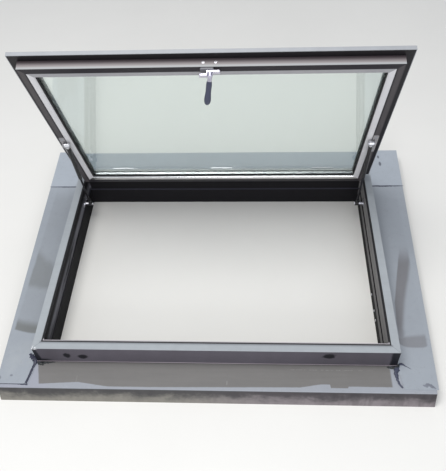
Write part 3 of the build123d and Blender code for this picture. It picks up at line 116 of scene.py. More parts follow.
# %%
# A material with its patterns
class Shader:
    """One material and the tools to build its patterns."""

    def __init__(self, name, **surface):
        self.material = bpy.data.materials.new(name)
        self.material.use_nodes = True
        self.tree = self.material.node_tree
        self.surface = self.tree.nodes["Principled BSDF"]
        for socket, value in surface.items():
            self.surface.inputs[socket.replace("_", " ")].default_value = value

    def node(self, kind, inputs=(), output=0, **settings):
        made = self.tree.nodes.new(kind)
        for key, value in settings.items():
            setattr(made, key, value)
        pairs = inputs.items() if isinstance(inputs, dict) else enumerate(inputs)
        for slot, value in pairs:
            if isinstance(value, Sock):
                self.tree.links.new(value.socket, made.inputs[slot])
            else:
                made.inputs[slot].default_value = value
        return Sock(self, made.outputs[output])

    def place(self):
        """The point on the object, in its own axes."""
        return self.node("ShaderNodeTexCoord", output="Object")

    def axes(self):
        """The same point as three numbers."""
        point = self.place()
        return [self.node("ShaderNodeSeparateXYZ", [point], output=i) for i in range(3)]

    def lid_axes(self):
        """The point as it lies with the lid closed."""
        x, y, z = self.axes()
        back, up = y - HINGE.y, z - HINGE.z
        cos, sin = math.cos(OPEN), math.sin(OPEN)
        return x, HINGE.y + back * cos - up * sin, HINGE.z + back * sin + up * cos

    def stretched(self, x, y, z):
        """The point with its axes scaled, for streaks and brushed grain."""
        return self.node("ShaderNodeVectorMath", [self.place(), (x, y, z)], operation="MULTIPLY")

    def noise(self, scale, detail=4.0, rough=0.55, where=None, warp=0.0):
        """Noise from 0 to 1 with features about 1 / scale metres across."""
        return self.node(
            "ShaderNodeTexNoise",
            {"Vector": where or self.place(), "Scale": scale, "Detail": detail,
             "Roughness": rough, "Distortion": warp},
        )

    def ramp(self, value, low, high, out_low=0.0, out_high=1.0, kind="LINEAR"):
        """A straight climb between two values, level outside them."""
        return self.node(
            "ShaderNodeMapRange",
            {"Value": value, "From Min": low, "From Max": high,
             "To Min": out_low, "To Max": out_high},
            interpolation_type=kind,
        )

    def step(self, value, low, high, out_low=0.0, out_high=1.0):
        """The same climb with soft ends."""
        return self.ramp(value, low, high, out_low, out_high, "SMOOTHSTEP")

    def band(self, value, low, high, soft):
        """1 between two values, with soft ends."""
        rise = self.step(value, low - soft, low + soft)
        return rise * self.step(value, high - soft, high + soft, 1.0, 0.0)

    def bent(self, value, level, runs):
        """A line that begins at `level` and climbs in runs of (start, end, climb)."""
        for start, end, climb in runs:
            level = level + self.ramp(value, start, end, 0.0, climb)
        return level

    def spot(self, across, along, centre, size, soft, wobble=None):
        """1 inside an ellipse of half axes `size` round `centre`."""
        first, second = (across - centre[0]) / size[0], (along - centre[1]) / size[1]
        reach = (first * first + second * second).math("SQRT")
        if wobble:
            reach = reach + wobble
        return self.step(reach, 1.0 - soft, 1.0 + soft, 1.0, 0.0)

    def spots(self, across, along, rows, soft, wobble=None):
        """1 inside any of the ellipses whose centres and half axes are given in rows."""
        found = [self.spot(across, along, centre, size, soft, wobble) for centre, size in rows]
        whole = found[0]
        for other in found[1:]:
            whole = whole.most(other)
        return whole

    def mix(self, amount, first, second):
        """A colour between first and second."""
        return self.node(
            "ShaderNodeMix", {0: amount, 6: first, 7: second}, output=2, data_type="RGBA"
        )

    def scaled(self, colour, brightness):
        """A colour made lighter or darker by a varying factor."""
        shade = colour if isinstance(colour, Sock) else colour[:3]
        return self.node(
            "ShaderNodeVectorMath", {0: shade, 3: brightness}, operation="SCALE"
        )

    def bump(self, height, strength, distance=0.001):
        """A normal roughened by a height pattern."""
        return self.node(
            "ShaderNodeBump", {"Height": height, "Strength": strength, "Distance": distance}
        )

    def wire(self, **inputs):
        """Links values to the surface and hands the finished material back."""
        for slot, value in inputs.items():
            self.tree.links.new(value.socket, self.surface.inputs[slot.replace("_", " ")])
        return self.material


def rgb(red, green, blue):
    """A screen colour, 0 to 255, as the linear values that light uses."""
    shares = [value / 255 for value in (red, green, blue)]
    linear = [s / 12.92 if s <= 0.04045 else ((s + 0.055) / 1.055) ** 2.4 for s in shares]
    return (*linear, 1.0)


def dress(names, material):
    """Gives one material to several of the model's solids."""
    for name in names.split():
        nodes[name].data.materials.clear()
        nodes[name].data.materials.append(material)


print("shader tools ready")

# %% [markdown]
# ## Painted sheet of the flashing
# All the sheets carry one pale blue-grey coat that the weather has gone over: a slow mottle,
# a cloudy one, a fine grain, and dust. The coat stands here once and each sheet adds its own
# marks to it.

# %%
# The coat that the sheets share
def sheet_coat(name, shade):
    s = Shader(name, Metallic=0.0, IOR=1.45)
    slow = s.noise(4.0, 3.0, 0.5)
    cloudy = s.noise(22.0, 5.0, 0.62, warp=0.7)
    grain = s.noise(430.0, 3.0, 0.6)
    bright = 0.84 + slow * 0.14 + cloudy * 0.12 + grain * 0.04
    dust = s.step(s.noise(70.0, 6.0, 0.7), 0.55, 0.75) * 0.30
    colour = s.mix(dust, s.scaled(shade, bright), rgb(124, 123, 122))
    return s, colour, cloudy, grain


def finish_sheet(s, colour, cloudy, grain, extra_rough=0.0):
    rough = 0.33 + cloudy * 0.22 + extra_rough
    return s.wire(Base_Color=colour, Roughness=rough, Normal=s.bump(grain, 0.12, 0.0004))


# %% [markdown]
# On each side sheet a duller, darker field of painted shade lies above the seam, with a darker
# rim of painted shade along its foot. On the left a second olive patch of painted shade lies
# half way up, and the sheet is paler towards the eave. On the right the rim turns up beside the
# frame and leans away from it as a strip of painted shade: two bent lines, `near` and `far`,
# hold that strip between them.

# %%
# Side and head sheets
# Each row: where a run of the edge of the painted shade strip starts and ends, and how far it
# leans outwards
STRIP_NEAR = [(-0.3236, -0.2325, 0.0066), (-0.2325, -0.1118, 0.0242), (-0.1118, 0.0175, 0.0286)]
STRIP_FAR = [(-0.3451, -0.2322, 0.0225), (-0.2322, -0.1115, 0.0334), (-0.1115, 0.0, 0.0277)]
# Each row: the centre and the half axes of a dark spot
LEFT_SPECKS = [((-0.711, -0.556), (0.005, 0.004)), ((-0.752, -0.566), (0.006, 0.008))]
HEAD_SPECKS = [((0.7008, 0.573), (0.0045, 0.010)), ((0.7040, 0.527), (0.0055, 0.014))]
# Where the field of painted shade stops outwards and fades towards the head, and the left sheet
# pales
FIELD_END, FIELD_FADE, EAVE_PALE = (0.744, 0.754), (0.30, 0.38), (-0.40, -0.46)
# The colours of the painted shade on the left and right sheets
LEFT_SHADE_TONE, RIGHT_SHADE_TONE = rgb(98, 100, 98), rgb(101, 99, 102)


def side_material(name, side):
    s, colour, cloudy, grain = sheet_coat(name, rgb(147, 153, 161))
    x, y, _ = s.axes()
    out = x * side
    wave = (s.noise(14.0, 4.0, 0.6) - 0.5) * 0.02
    if side < 0:
        lean = out - 0.680
        low_edge = lean * 0.11 + lean * lean * 1.4 - 0.3825
        above = y - low_edge + wave * 0.25
        heart = s.step(y + wave - lean * 0.2, -0.200, -0.165)
        heart = heart * s.step(y + wave * 2.0 - lean * 0.94, -0.085, -0.030, 0.40, 0.0)
        rim = s.step(above + wave * 0.3, 0.020, 0.058, 0.66, 0.0)
        shade = rim.most(heart) + 0.14
    else:
        bulge = (out - 0.705) / 0.054
        bulge = bulge * bulge
        low_edge = bulge * bulge * 0.018 - 0.426
        above = y - low_edge + wave * 0.25
        near = s.bent(y, 0.654 + wave * 0.15, STRIP_NEAR)
        far = s.bent(y, 0.6745 + wave * 0.15, STRIP_FAR)
        strip = s.step(out - near, -0.002, 0.004) * s.step(out - far, -0.010, 0.010, 1.0, 0.0)
        strip = strip * s.step(y, -0.06, 0.05, 0.72, 0.0) * s.step(y, -0.400, -0.320, 0.62, 1.0)
        rim = s.step(y + wave * 0.3 - (out - 0.70) * 0.12, -0.388, -0.370, 0.52, 0.0)
        shade = rim.most(strip) + 0.04
    # The field, its rim, the left patch and the right strip are painted shade, darker and a
    # little rougher
    field = s.step(above, -0.004, 0.004) * s.step(out + wave * 0.4, *FIELD_END, 1.0, 0.0)
    field = field * s.step(y, *FIELD_FADE, 1.0, 0.0)
    painted_shade = field * shade
    shade_and_wear = LEFT_SHADE_TONE if side < 0 else RIGHT_SHADE_TONE
    colour = s.mix(painted_shade, colour, s.scaled(shade_and_wear, 0.92 + cloudy * 0.16))
    if side < 0:
        pale = s.step(y, *EAVE_PALE) * s.step(s.noise(6.0, 4.0, 0.6), 0.35, 0.6)
        colour = s.mix(pale * 0.30, colour, rgb(168, 172, 174))
        specks = s.spots(x, y, LEFT_SPECKS, 0.4)
        colour = s.mix(specks * 0.6, colour, rgb(86, 88, 100))
    return finish_sheet(s, colour, cloudy, grain, painted_shade * 0.12)


def head_material(name):
    s, colour, cloudy, grain = sheet_coat(name, rgb(160, 167, 176))
    x, y, _ = s.axes()
    wobble = (s.noise(90.0, 3.0, 0.6) - 0.5) * 0.9
    specks = s.spots(x, y, HEAD_SPECKS, 0.3, wobble)
    colour = s.mix(specks * 0.82, colour, rgb(72, 74, 84))
    return finish_sheet(s, colour, cloudy, grain)


dress("left_flashing", side_material("left_sheet_paint", -1))
dress("right_flashing", side_material("right_sheet_paint", 1))
dress("head_flashing", head_material("head_sheet_paint"))
print("side and head sheets painted")

# %% [markdown]
# The apron in front of the sill is the darkest sheet. A brownish painted reflection covers
# nearly all of its top; its lower edge leaves two flat pale triangles on the left, and a step on
# the right, and next to the skirt's foot it darkens as painted shade.
# The folded lip below is painted darker as shade, most just under the fold, and is stained in
# long blotches, olive on the left and mauve on the right, with rain streaks towards the right
# end.

# %%
# Apron
# Each row: where a run of the painted reflection's edge starts and ends, and how far it climbs
# the sheet
APRON_EDGE = [
    (-0.607, -0.470, 0.0090), (-0.470, -0.3655, -0.0155), (-0.216, 0.295, 0.0075),
    (0.295, 0.363, 0.0120), (0.3965, 0.399, -0.0125), (0.456, 0.459, 0.0060),
]
# Where the painted reflection stops on the right, and where a pale trail, a tick and a crack lie
# on it
REFLECTION_END = (0.602, 0.609)
TRAIL_LINE, TRAIL_START, TRAIL_FADE = (-0.5196, -0.5180), (0.262, 0.270), (0.42, 0.60)
TICK_ACROSS, TICK_ALONG = (0.0455, 0.0480), (-0.580, -0.565)
CRACK_ACROSS, CRACK_START = (-0.4785, -0.4765), (-0.548, -0.556)


def apron_material(name):
    s, colour, cloudy, grain = sheet_coat(name, rgb(146, 150, 158))
    x, y, z = s.axes()
    fine = (s.noise(40.0, 4.0, 0.6) - 0.5) * 0.003
    # The brownish patch is a painted reflection; the pale trail, tick and crack below are marks
    # on it
    edge = s.bent(x, FOLD + 0.0125, APRON_EDGE)
    left_end = -0.626 - (y + 0.514) * 0.264
    patch_mask = s.step(y - edge - fine, -0.0014, 0.0016) * s.step(x - left_end + fine, -0.002, 0.003)
    patch_mask = patch_mask * s.step(x, *REFLECTION_END, 1.0, 0.0)
    patch_mask = patch_mask * s.step(z, APRON_TOP - 0.004, APRON_TOP - 0.002)
    strokes = s.noise(11.0, 5.0, 0.62, where=s.stretched(0.3, 4.5, 1.0), warp=0.5)
    reflection_and_marks = s.scaled(rgb(106, 104, 102), 0.78 + cloudy * 0.16 + strokes * 0.30)
    trail = s.band(y + fine * 0.6, *TRAIL_LINE, 0.0012) * s.step(x, *TRAIL_START)
    trail = trail * s.step(x, *TRAIL_FADE, 1.0, 0.0) * s.step(s.noise(120.0), 0.38, 0.56)
    tick = s.band(x, *TICK_ACROSS, 0.0008) * s.band(y, *TICK_ALONG, 0.003)
    reflection_and_marks = s.mix(trail.most(tick) * 0.5, reflection_and_marks, rgb(158, 156, 154))
    crack = s.band(x + fine * 1.2, *CRACK_ACROSS, 0.0008) * s.step(y, *CRACK_START)
    reflection_and_marks = s.mix(crack * 0.35, reflection_and_marks, rgb(140, 138, 136))
    # Darker next to the skirt's foot: painted shade
    foot = s.step(y, FRONT - 0.012, FRONT - 0.002)
    reflection_and_marks = s.scaled(reflection_and_marks, 1.0 - foot * 0.12)
    bare = s.mix(s.step(x, -0.60, -0.55, 0.7, 0.0), colour, rgb(146, 148, 160))
    colour = s.mix(patch_mask * 0.94, bare, reflection_and_marks)
    lip = s.step(z, APRON_TOP - 0.006, APRON_TOP - 0.003, 1.0, 0.0)
    blot = s.noise(13.0, 6.0, 0.66, where=s.stretched(0.7, 1.0, 1.6), warp=0.5)
    fleck = s.noise(55.0, 4.0, 0.6)
    # The lip is painted darker as shade, most just under the fold; the blotches and flecks are
    # stains
    tone = s.ramp(z, 0.056, 0.004) + (blot - 0.5) * 1.5 + (fleck - 0.5) * 0.5
    tone = s.step(tone, 0.15, 0.95)
    olive = s.mix(tone, rgb(62, 61, 62), rgb(122, 119, 112))
    mauve = s.mix(tone, rgb(60, 56, 60), rgb(120, 113, 116))
    stain_and_shade = s.mix(s.step(x, -0.2, 0.25), olive, mauve)
    rain = s.step(s.noise(26.0, 4.0, 0.6, where=s.stretched(1.0, 1.0, 0.07)), 0.44, 0.60)
    stain_and_shade = s.scaled(stain_and_shade, 1.0 - rain * s.step(x, 0.25, 0.5, 0.10, 0.30))
    colour = s.mix(lip, colour, stain_and_shade)
    return finish_sheet(s, colour, cloudy, grain, lip * 0.15 + patch_mask * 0.12)


dress("apron", apron_material("apron_paint"))
print("apron painted")

# %% [markdown]
# ## Coated extrusions of the frame
# The flange on top catches the sky and is pale, with painted shade along the sill's inner edge.
# The skirt under it is painted a dark warm grey as shade, darker towards both ends, with three
# nearly black daubs of old sealant on its front, and more of it at both front corners.
# The inner walls are painted black as shade, with painted light on them: a paler line along the
# head, a grey streak along the left jamb and two grey bands along the right. The mitres of the
# flange show as hairlines, and its left front corner is chipped.

# %%
# Frame members
# Each row: the centre and the half axes of a daub on the skirt's front
SKIRT_DAUBS = [
    ((-0.5149, 0.106), (0.0125, 0.014)), ((-0.461, 0.0985), (0.0195, 0.013)),
    ((0.3934, 0.122), (0.021, 0.013)),
]
CHIPPED_CORNER = ((-SIDE, FRONT), (0.015, 0.010))
# Heights of the painted light on the inner walls: the paler line along the head, the grey streak
# on the left, and the two right bands with the gap in the upper one
HEAD_LINE, LEFT_LIT_STREAK = (0.0775, 0.0825), (0.086, 0.120)
RIGHT_UPPER, RIGHT_GAP, RIGHT_LOWER = (0.0825, 0.147), (0.1135, 0.1165), (0.046, 0.076)


def mottle_and_grain(s, scale):
    """The two noises that every painted extrusion shows."""
    return s.noise(scale, 5.0, 0.6, warp=0.4), s.noise(500.0, 2.0, 0.5)


def frame_material(name):
    s = Shader(name, Metallic=0.0, Specular_IOR_Level=0.22)
    x, y, z = s.axes()
    cloudy, grain = mottle_and_grain(s, 18.0)
    across_x = abs(x) - SIDE
    across_y = abs(y - MIDDLE) - (HEAD - FRONT) / 2
    reach = across_x.most(across_y)
    top = s.step(z, TOP - 0.0012, TOP - 0.0006)
    flange = top * s.step(reach, -FLANGE - 0.0003, -FLANGE + 0.0003)
    skirt = s.step(reach, -0.0035, -0.0025)
    pale = s.scaled(rgb(156, 161, 166), 0.86 + cloudy * 0.2 + grain * 0.05)
    strokes = s.noise(30.0, 3.0, 0.6, where=s.stretched(0.15, 6.0, 1.0))
    pale = s.scaled(pale, 0.95 + strokes * 0.1)
    mitre = s.step(abs(across_x - across_y), 0.0003, 0.0011, 1.0, 0.0)
    pale = s.mix(mitre * 0.55, pale, rgb(70, 72, 78))
    # The sill flange darker towards the opening: painted shade
    sill = s.step(y, -0.466, -0.470)
    pale = s.mix(s.step(reach, -0.019, -FLANGE, 0.0, 0.62) * sill, pale, rgb(94, 95, 101))
    # The skirt's dark warm grey, darker towards both ends, is painted shade on faces turned from
    # the light
    outer = s.scaled(rgb(88, 84, 92), 0.82 + cloudy * 0.26)
    outer = s.scaled(outer, s.step(x, 0.15, 0.5, 1.0, 0.78) * s.step(x, -0.60, -0.45, 0.80, 1.0))
    wobble = (s.noise(75.0, 5.0, 0.7) - 0.5) * 1.7
    daubs = s.spots(x, z, SKIRT_DAUBS, 0.3, wobble)
    ends = s.step(x + wobble * 0.005 + (z - 0.108) * 0.12, -0.618, -0.610, 1.0, 0.0)
    ends = ends.most(s.step(x + wobble * 0.006, 0.600, 0.609))
    foot = s.step(z + wobble * 0.004, 0.088, 0.074) * s.step(x, -0.60, -0.565, 1.0, 0.0)
    front = s.step(y + wobble * 0.004, FRONT + 0.014, FRONT + 0.006)
    outer = s.mix(daubs.most(ends).most(foot) * front * 0.96, outer, rgb(15, 16, 22))
    weather = s.noise(20.0, 4.0, 0.6, where=s.stretched(1.0, 1.0, 0.12))
    outer = s.scaled(outer, 0.90 + weather * 0.20)
    # Inner walls: the black is painted shade; the head line, the left streak and the right bands
    # are painted light
    jamb = s.step(abs(x), 0.585, 0.590)
    inner = s.scaled(rgb(16, 15, 19), 0.8 + cloudy * 0.4)
    line = s.band(z, *HEAD_LINE, 0.0006) * s.step(y, 0.30, 0.33)
    inner = s.mix(line * 0.8, inner, rgb(60, 60, 70))
    streak = s.noise(7.0, 3.0, 0.55, where=s.stretched(1.0, 0.5, 4.0))
    left_grey = s.band(z, *LEFT_LIT_STREAK, 0.010) * s.step(streak, 0.32, 0.58)
    left_grey = left_grey * s.step(x, 0.0, -0.1)
    inner = s.mix(left_grey * jamb * 0.9, inner, rgb(112, 112, 120))
    upper = s.band(z, *RIGHT_UPPER, 0.0012) * (1.0 - s.band(z, *RIGHT_GAP, 0.0008) * 0.55)
    lower = s.band(z, *RIGHT_LOWER, 0.002) * 0.75
    right_grey = (upper + lower) * jamb * s.step(x, 0.0, 0.1) * (0.72 + streak * 0.3)
    inner = s.mix(right_grey, inner, rgb(134, 132, 132))
    colour = s.mix(skirt, inner, outer)
    lip_grey = s.mix(s.step(y, -0.463, -0.455), rgb(168, 164, 170), rgb(30, 30, 35))
    colour = s.mix(top, colour, lip_grey)
    colour = s.mix(flange, colour, pale)
    chips = s.step(s.noise(210.0, 4.0, 0.65), 0.49, 0.54)
    chips = chips * s.spot(x, y, *CHIPPED_CORNER, 0.5) * s.step(z, 0.139, 0.145)
    colour = s.mix(chips, colour, rgb(232, 233, 236))
    rough = 0.36 + cloudy * 0.16 + (1.0 - top.most(skirt)) * 0.35
    return s.wire(Base_Color=colour, Roughness=rough, Normal=s.bump(grain, 0.04, 0.0003))


dress("frame_sill frame_left frame_right frame_head", frame_material("frame_coat"))
print("frame painted")

# %% [markdown]
# ## Lid: dark rails
# The rails are one dark bronze section, painted nearly black as shade under the overhang. The
# wall of the free rail grades from dark brown below the overhang to light grey at its lower
# arris, painted shade under the overhang and painted light towards the arris, and its flat face
# beside the beads is dark again. On the stiles that face has a browner band along its middle.
# The lid's own axes, as it lies closed, tell these faces apart.

# %%
# Rails and stiles
BOX_LOW, BOX_HIGH = TOP - BOX_DEPTH, TOP + LID_LIFT


def painted_finish(s, colour, rough, cloudy, grain):
    normal = s.bump(grain, 0.08, 0.0003)
    return s.wire(Base_Color=colour, Roughness=rough + cloudy * 0.16, Normal=normal)


def free_rail_material(name):
    s = Shader(name, Metallic=0.0, Specular_IOR_Level=0.25)
    z = s.lid_axes()[2]
    cloudy, grain = mottle_and_grain(s, 16.0)
    wall = s.step(z, BOX_LOW + 0.0002, BOX_LOW + 0.0006)
    wall = wall * s.step(z, BOX_HIGH - 0.0006, BOX_HIGH - 0.0002, 1.0, 0.0)
    # Dark brown high on the wall, light grey at the arris: painted shade under the overhang,
    # painted light at the arris
    climb = s.step(z, BOX_LOW, BOX_HIGH - 0.002, 1.0, 0.0)
    shade = s.mix(climb, rgb(64, 56, 60), rgb(154, 149, 150))
    shade = s.mix(s.step(z, BOX_LOW + 0.010, BOX_LOW + 0.005), shade, rgb(154, 156, 158))
    colour = s.mix(wall, s.scaled(rgb(36, 33, 39), 0.85 + cloudy * 0.3), shade)
    # Nearly black under the overhang: painted shade
    under = s.step(z, BOX_HIGH - 0.0006, BOX_HIGH - 0.0002)
    colour = s.mix(under, colour, s.scaled(rgb(26, 24, 27), 0.8 + cloudy * 0.4))
    return painted_finish(s, colour, 0.32, cloudy, grain)


def rail_material(name):
    s = Shader(name, Metallic=0.0, Specular_IOR_Level=0.25)
    x, _, z = s.lid_axes()
    cloudy, grain = mottle_and_grain(s, 16.0)
    face = s.step(z, BOX_LOW + 0.001, BOX_LOW + 0.0004)
    middle = s.band(abs(x), SIDE - LID_WALL - 0.019, SIDE - LID_WALL - 0.002, 0.003)
    face_shade = s.mix(middle, rgb(44, 42, 46), rgb(74, 70, 72))
    # Nearly black everywhere but the flat face: painted shade under the overhang
    dark = s.scaled(rgb(28, 26, 30), 0.8 + cloudy * 0.4)
    colour = s.mix(face, dark, s.scaled(face_shade, 0.82 + cloudy * 0.36))
    return painted_finish(s, colour, 0.34, cloudy, grain)


dress("lid_free_rail", free_rail_material("free_rail_coat"))
dress("lid_head_rail lid_left_stile lid_right_stile", rail_material("rail_coat"))
print("rails painted")

# %% [markdown]
# ## Covers, beads and small parts
# One coat with a soft mottle does for the covers and the painted beads; rubber, glass,
# plastic and brushed metal have a recipe each.

# %%
# Coats, rubber, glass, metal and plastic
def coat(name, shade, rough=0.4, mottle=0.25):
    s = Shader(name, Metallic=0.0, IOR=1.5)
    cloudy, grain = mottle_and_grain(s, 22.0)
    colour = s.scaled(shade, (1.0 - mottle * 0.5) + cloudy * mottle)
    return painted_finish(s, colour, rough - 0.08, cloudy, grain)


def rubber(name, shade):
    s = Shader(name)
    grain = s.noise(900.0, 3.0, 0.6)
    chalk = s.step(s.noise(60.0, 4.0, 0.6), 0.45, 0.75) * 0.25
    colour = s.mix(chalk, s.scaled(shade, 0.8 + grain * 0.4), rgb(70, 70, 72))
    normal = s.bump(grain, 0.2, 0.0003)
    return s.wire(Base_Color=colour, Roughness=0.6 + chalk * 0.8, Normal=normal)


def gasket(name):
    """Black rubber that turns pale along the head."""
    s = Shader(name)
    y = s.lid_axes()[1]
    grain = s.noise(900.0, 3.0, 0.6)
    pale = s.step(y, 0.305, 0.318) * (0.75 + grain * 0.3)
    colour = s.mix(pale, s.scaled(rgb(20, 20, 22), 0.8 + grain * 0.4), rgb(176, 178, 182))
    normal = s.bump(grain, 0.2, 0.0003)
    return s.wire(Base_Color=colour, Roughness=0.65 + pale * 0.1, Normal=normal)


def glass(name):
    green = (0.93, 0.97, 0.955, 1.0)
    s = Shader(name, IOR=1.45, Transmission_Weight=1.0, Base_Color=green)
    patch_mask = s.noise(9.0, 4.0, 0.6)
    return s.wire(Roughness=s.step(patch_mask, 0.5, 0.9, 0.0, 0.02))


def brushed(name, shade, rough=0.3, along=(0.15, 1.0, 1.0)):
    s = Shader(name, Metallic=1.0)
    grain = s.noise(300.0, 2.0, 0.5, where=s.stretched(*along))
    shade_and_wear = s.noise(45.0, 4.0, 0.6)
    colour = s.scaled(shade, 0.82 + grain * 0.2 + shade_and_wear * 0.14)
    return s.wire(Base_Color=colour, Roughness=(rough - 0.1) + grain * 0.12 + shade_and_wear * 0.12)


def plastic(name, shade, rough=0.45):
    s = Shader(name, IOR=1.48)
    grain = s.noise(700.0, 3.0, 0.6)
    rubbed = s.noise(35.0, 4.0, 0.6)
    colour = s.scaled(shade, 0.85 + grain * 0.16 + rubbed * 0.16)
    normal = s.bump(grain, 0.15, 0.0003)
    return s.wire(Base_Color=colour, Roughness=(rough - 0.1) + rubbed * 0.2, Normal=normal)


dress("lid_free_cover lid_head_cover lid_left_cover lid_right_cover",
      coat("cover_coat", rgb(148, 151, 156)))
dress("bead_free", coat("bead_free_coat", rgb(152, 151, 155), 0.35, 0.18))
dress("bead_left bead_right", coat("bead_side_coat", rgb(206, 205, 208), 0.35, 0.15))
# The head bead is the same bead as the others; its near-white metal is a painted reflection of
# the sky
dress("bead_head", brushed("bead_head_painted_highlight", rgb(255, 255, 255), 0.22))
dress("frame_seal edge_seal", rubber("black_rubber", rgb(20, 20, 22)))
dress("inner_gasket", gasket("inner_rubber"))
dress("outer_gasket", rubber("pale_gasket", rgb(196, 198, 198)))
dress("inner_pane outer_pane", glass("clear_glass"))
dress("frame_cleats lid_cleats", brushed("bare_aluminium", rgb(200, 202, 205)))
dress("spacer", brushed("spacer_metal", rgb(226, 228, 230), 0.34))
dress("keeper keeper_screws edge_screws frame_leaf_screws lid_leaf_screws "
      "hinge_frame_leaves hinge_lid_leaves hinge_pins bracket_screws left_frame_stud "
      "right_frame_stud left_lid_stud right_lid_stud handle_spindle jamb_screws",
      brushed("zinc_steel", rgb(205, 205, 212), 0.28))
dress("handle_cam", brushed("cam_metal", rgb(214, 212, 226), 0.34))
dress("left_lid_bracket right_lid_bracket", plastic("bracket_paint", rgb(150, 148, 150)))
dress("handle_lever", brushed("lever_metal", rgb(216, 214, 232), 0.34, (1.0, 1.0, 0.15)))
dress("left_rod right_rod", brushed("rod_steel", rgb(52, 52, 57), 0.24, (1.0, 0.15, 0.15)))
dress("left_tube right_tube", plastic("tube_paint", rgb(28, 27, 30), 0.4))
dress("left_tube_eye right_tube_eye", brushed("eye_metal", rgb(232, 232, 236), 0.3))
dress("setting_blocks left_rod_eye right_rod_eye", plastic("black_plastic", rgb(24, 24, 27)))
dress("handle_base", plastic("base_plastic", rgb(104, 104, 110)))
dress("handle_grip", plastic("grip_plastic", rgb(62, 66, 88)))
print("small parts painted")

# %% [markdown]
# ## Sealant laid by hand
# `smear` lays a low, uneven bead along a line of points: its cross-section is a flattened
# arch whose width and height follow the values given at the points and are then disturbed by
# noise, and its lower rim is held on the sheet. The beads on both front seams, the blobs at
# the frame's two corners and the lines along the head seams are made with it.

# %%
# Sealant beads and smears
LUMP_SCALE, RIPPLE_SCALE = 160, 400


def smooth_path(points, steps):
    """Points along a smooth line through rows of (x, y, z, half width, height)."""
    rows = [points[0]] + list(points) + [points[-1]]
    out = []
    for i in range(1, len(rows) - 2):
        a, b, c, d = rows[i - 1], rows[i], rows[i + 1], rows[i + 2]
        for k in range(steps):
            t = k / steps
            out.append([
                0.5 * (2 * q + (r - p) * t + (2 * p - 5 * q + 4 * r - w) * t * t
                       + (3 * q - p - 3 * r + w) * t * t * t)
                for p, q, r, w in zip(a, b, c, d)
            ])
    out.append(list(points[-1]))
    return out


def smear(shape, points, steps, arc, rough, seed):
    """Adds one bead to a bmesh: `steps` rings per point, `arc` faces over the arch."""
    rows = smooth_path(points, steps)
    rings = []
    for i, (x, y, z, half, high) in enumerate(rows):
        ahead = Vector(rows[min(i + 1, len(rows) - 1)][:2]) - Vector(rows[max(i - 1, 0)][:2])
        ahead.normalize()
        side = Vector((ahead.y, -ahead.x, 0))
        ring = []
        for k in range(arc + 1):
            turn = math.pi * k / arc
            spot = Vector((x, y, z)) + side * (half * math.cos(turn))
            lump = noise.noise(Vector((spot.x, spot.y, seed)) * LUMP_SCALE)
            offset = side * (half * math.cos(turn) * (1.0 + rough * 2.0 * lump))
            ripple = noise.noise(spot * RIPPLE_SCALE + Vector((seed, 0, 0)))
            rise = high * math.sin(turn) * (1.0 + rough * ripple)
            ring.append(shape.verts.new(Vector((x, y, z + rise)) + offset))
        rings.append(ring)
    for first, second in zip(rings, rings[1:]):
        for k in range(arc):
            shape.faces.new((first[k], first[k + 1], second[k + 1], second[k]))
        shape.faces.new((first[arc], first[0], second[0], second[arc]))
    shape.faces.new(rings[0])
    shape.faces.new(list(reversed(rings[-1])))


def piece(name, shape, material, body):
    """Turns a bmesh into a smooth object that rides on a body."""
    bmesh.ops.recalc_face_normals(shape, faces=shape.faces)
    mesh = bpy.data.meshes.new(name)
    shape.to_mesh(mesh)
    shape.free()
    mesh.polygons.foreach_set("use_smooth", [True] * len(mesh.polygons))
    mesh.materials.append(material)
    made = bpy.data.objects.new(name, mesh)
    bpy.context.scene.collection.objects.link(made)
    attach(made, body)
    print(name, "with", len(mesh.polygons), "faces")
    return made


def sealant_material(name, shade, shine):
    s = Shader(name, IOR=1.45)
    cloudy = s.noise(60.0, 5.0, 0.65, warp=0.5)
    dust = s.step(s.noise(140.0, 4.0, 0.6), 0.52, 0.72) * 0.4
    colour = s.mix(dust, s.scaled(shade, 0.7 + cloudy * 0.6), rgb(120, 122, 134))
    return s.wire(Base_Color=colour, Roughness=shine + dust, Normal=s.bump(cloudy, 0.4, 0.0008))


blue_black = sealant_material("seam_sealant", rgb(42, 44, 62), 0.35)
green_black = sealant_material("old_sealant", rgb(22, 28, 30), 0.45)
grey_blue = sealant_material("smeared_sealant", rgb(56, 60, 78), 0.45)
thin_grey = sealant_material("thin_sealant", rgb(112, 116, 126), 0.45)

beads = bmesh.new()
bedded = SIDE_TOP - 0.0012
smear(beads, [
    (-0.6365, -0.502, bedded, 0.0062, 0.0034), (-0.6405, -0.520, bedded, 0.0052, 0.0032),
    (-0.6450, -0.545, bedded, 0.0046, 0.0030), (-0.6490, -0.570, bedded, 0.0048, 0.0030),
    (-0.6520, -0.585, bedded, 0.0054, 0.0030),
], steps=14, arc=9, rough=0.22, seed=1.0)
smear(beads, [
    (-0.6455, -0.5885, APRON_TOP, 0.0035, 0.0022), (-0.665, -0.5885, APRON_TOP, 0.0024, 0.0018),
    (-0.700, -0.5880, APRON_TOP, 0.0013, 0.0016), (-0.7490, -0.5880, APRON_TOP, 0.0011, 0.0015),
], steps=14, arc=7, rough=0.25, seed=2.0)
seam_start, seam_end = 0.633, 0.786
for side, wide in ((-1, 0.0026), (1, 0.0034)):
    smear(beads, [
        (side * seam_start, 0.3855, SIDE_TOP, wide * 0.5, 0.0012),
        (side * (seam_start + 0.030), 0.3853, SIDE_TOP, wide, 0.0018),
        (side * (seam_start + 0.075), 0.3850, SIDE_TOP, wide * 1.1, 0.0019),
        (side * (seam_start + 0.110), 0.3856, SIDE_TOP, wide * 0.8, 0.0017),
        (side * seam_end, 0.3856, SIDE_TOP, wide * 0.35, 0.0012),
    ], steps=14, arc=7, rough=0.3, seed=3.0 + side)
seam_beads = piece("seam_beads", beads, blue_black, "frame")
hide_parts("sealant")

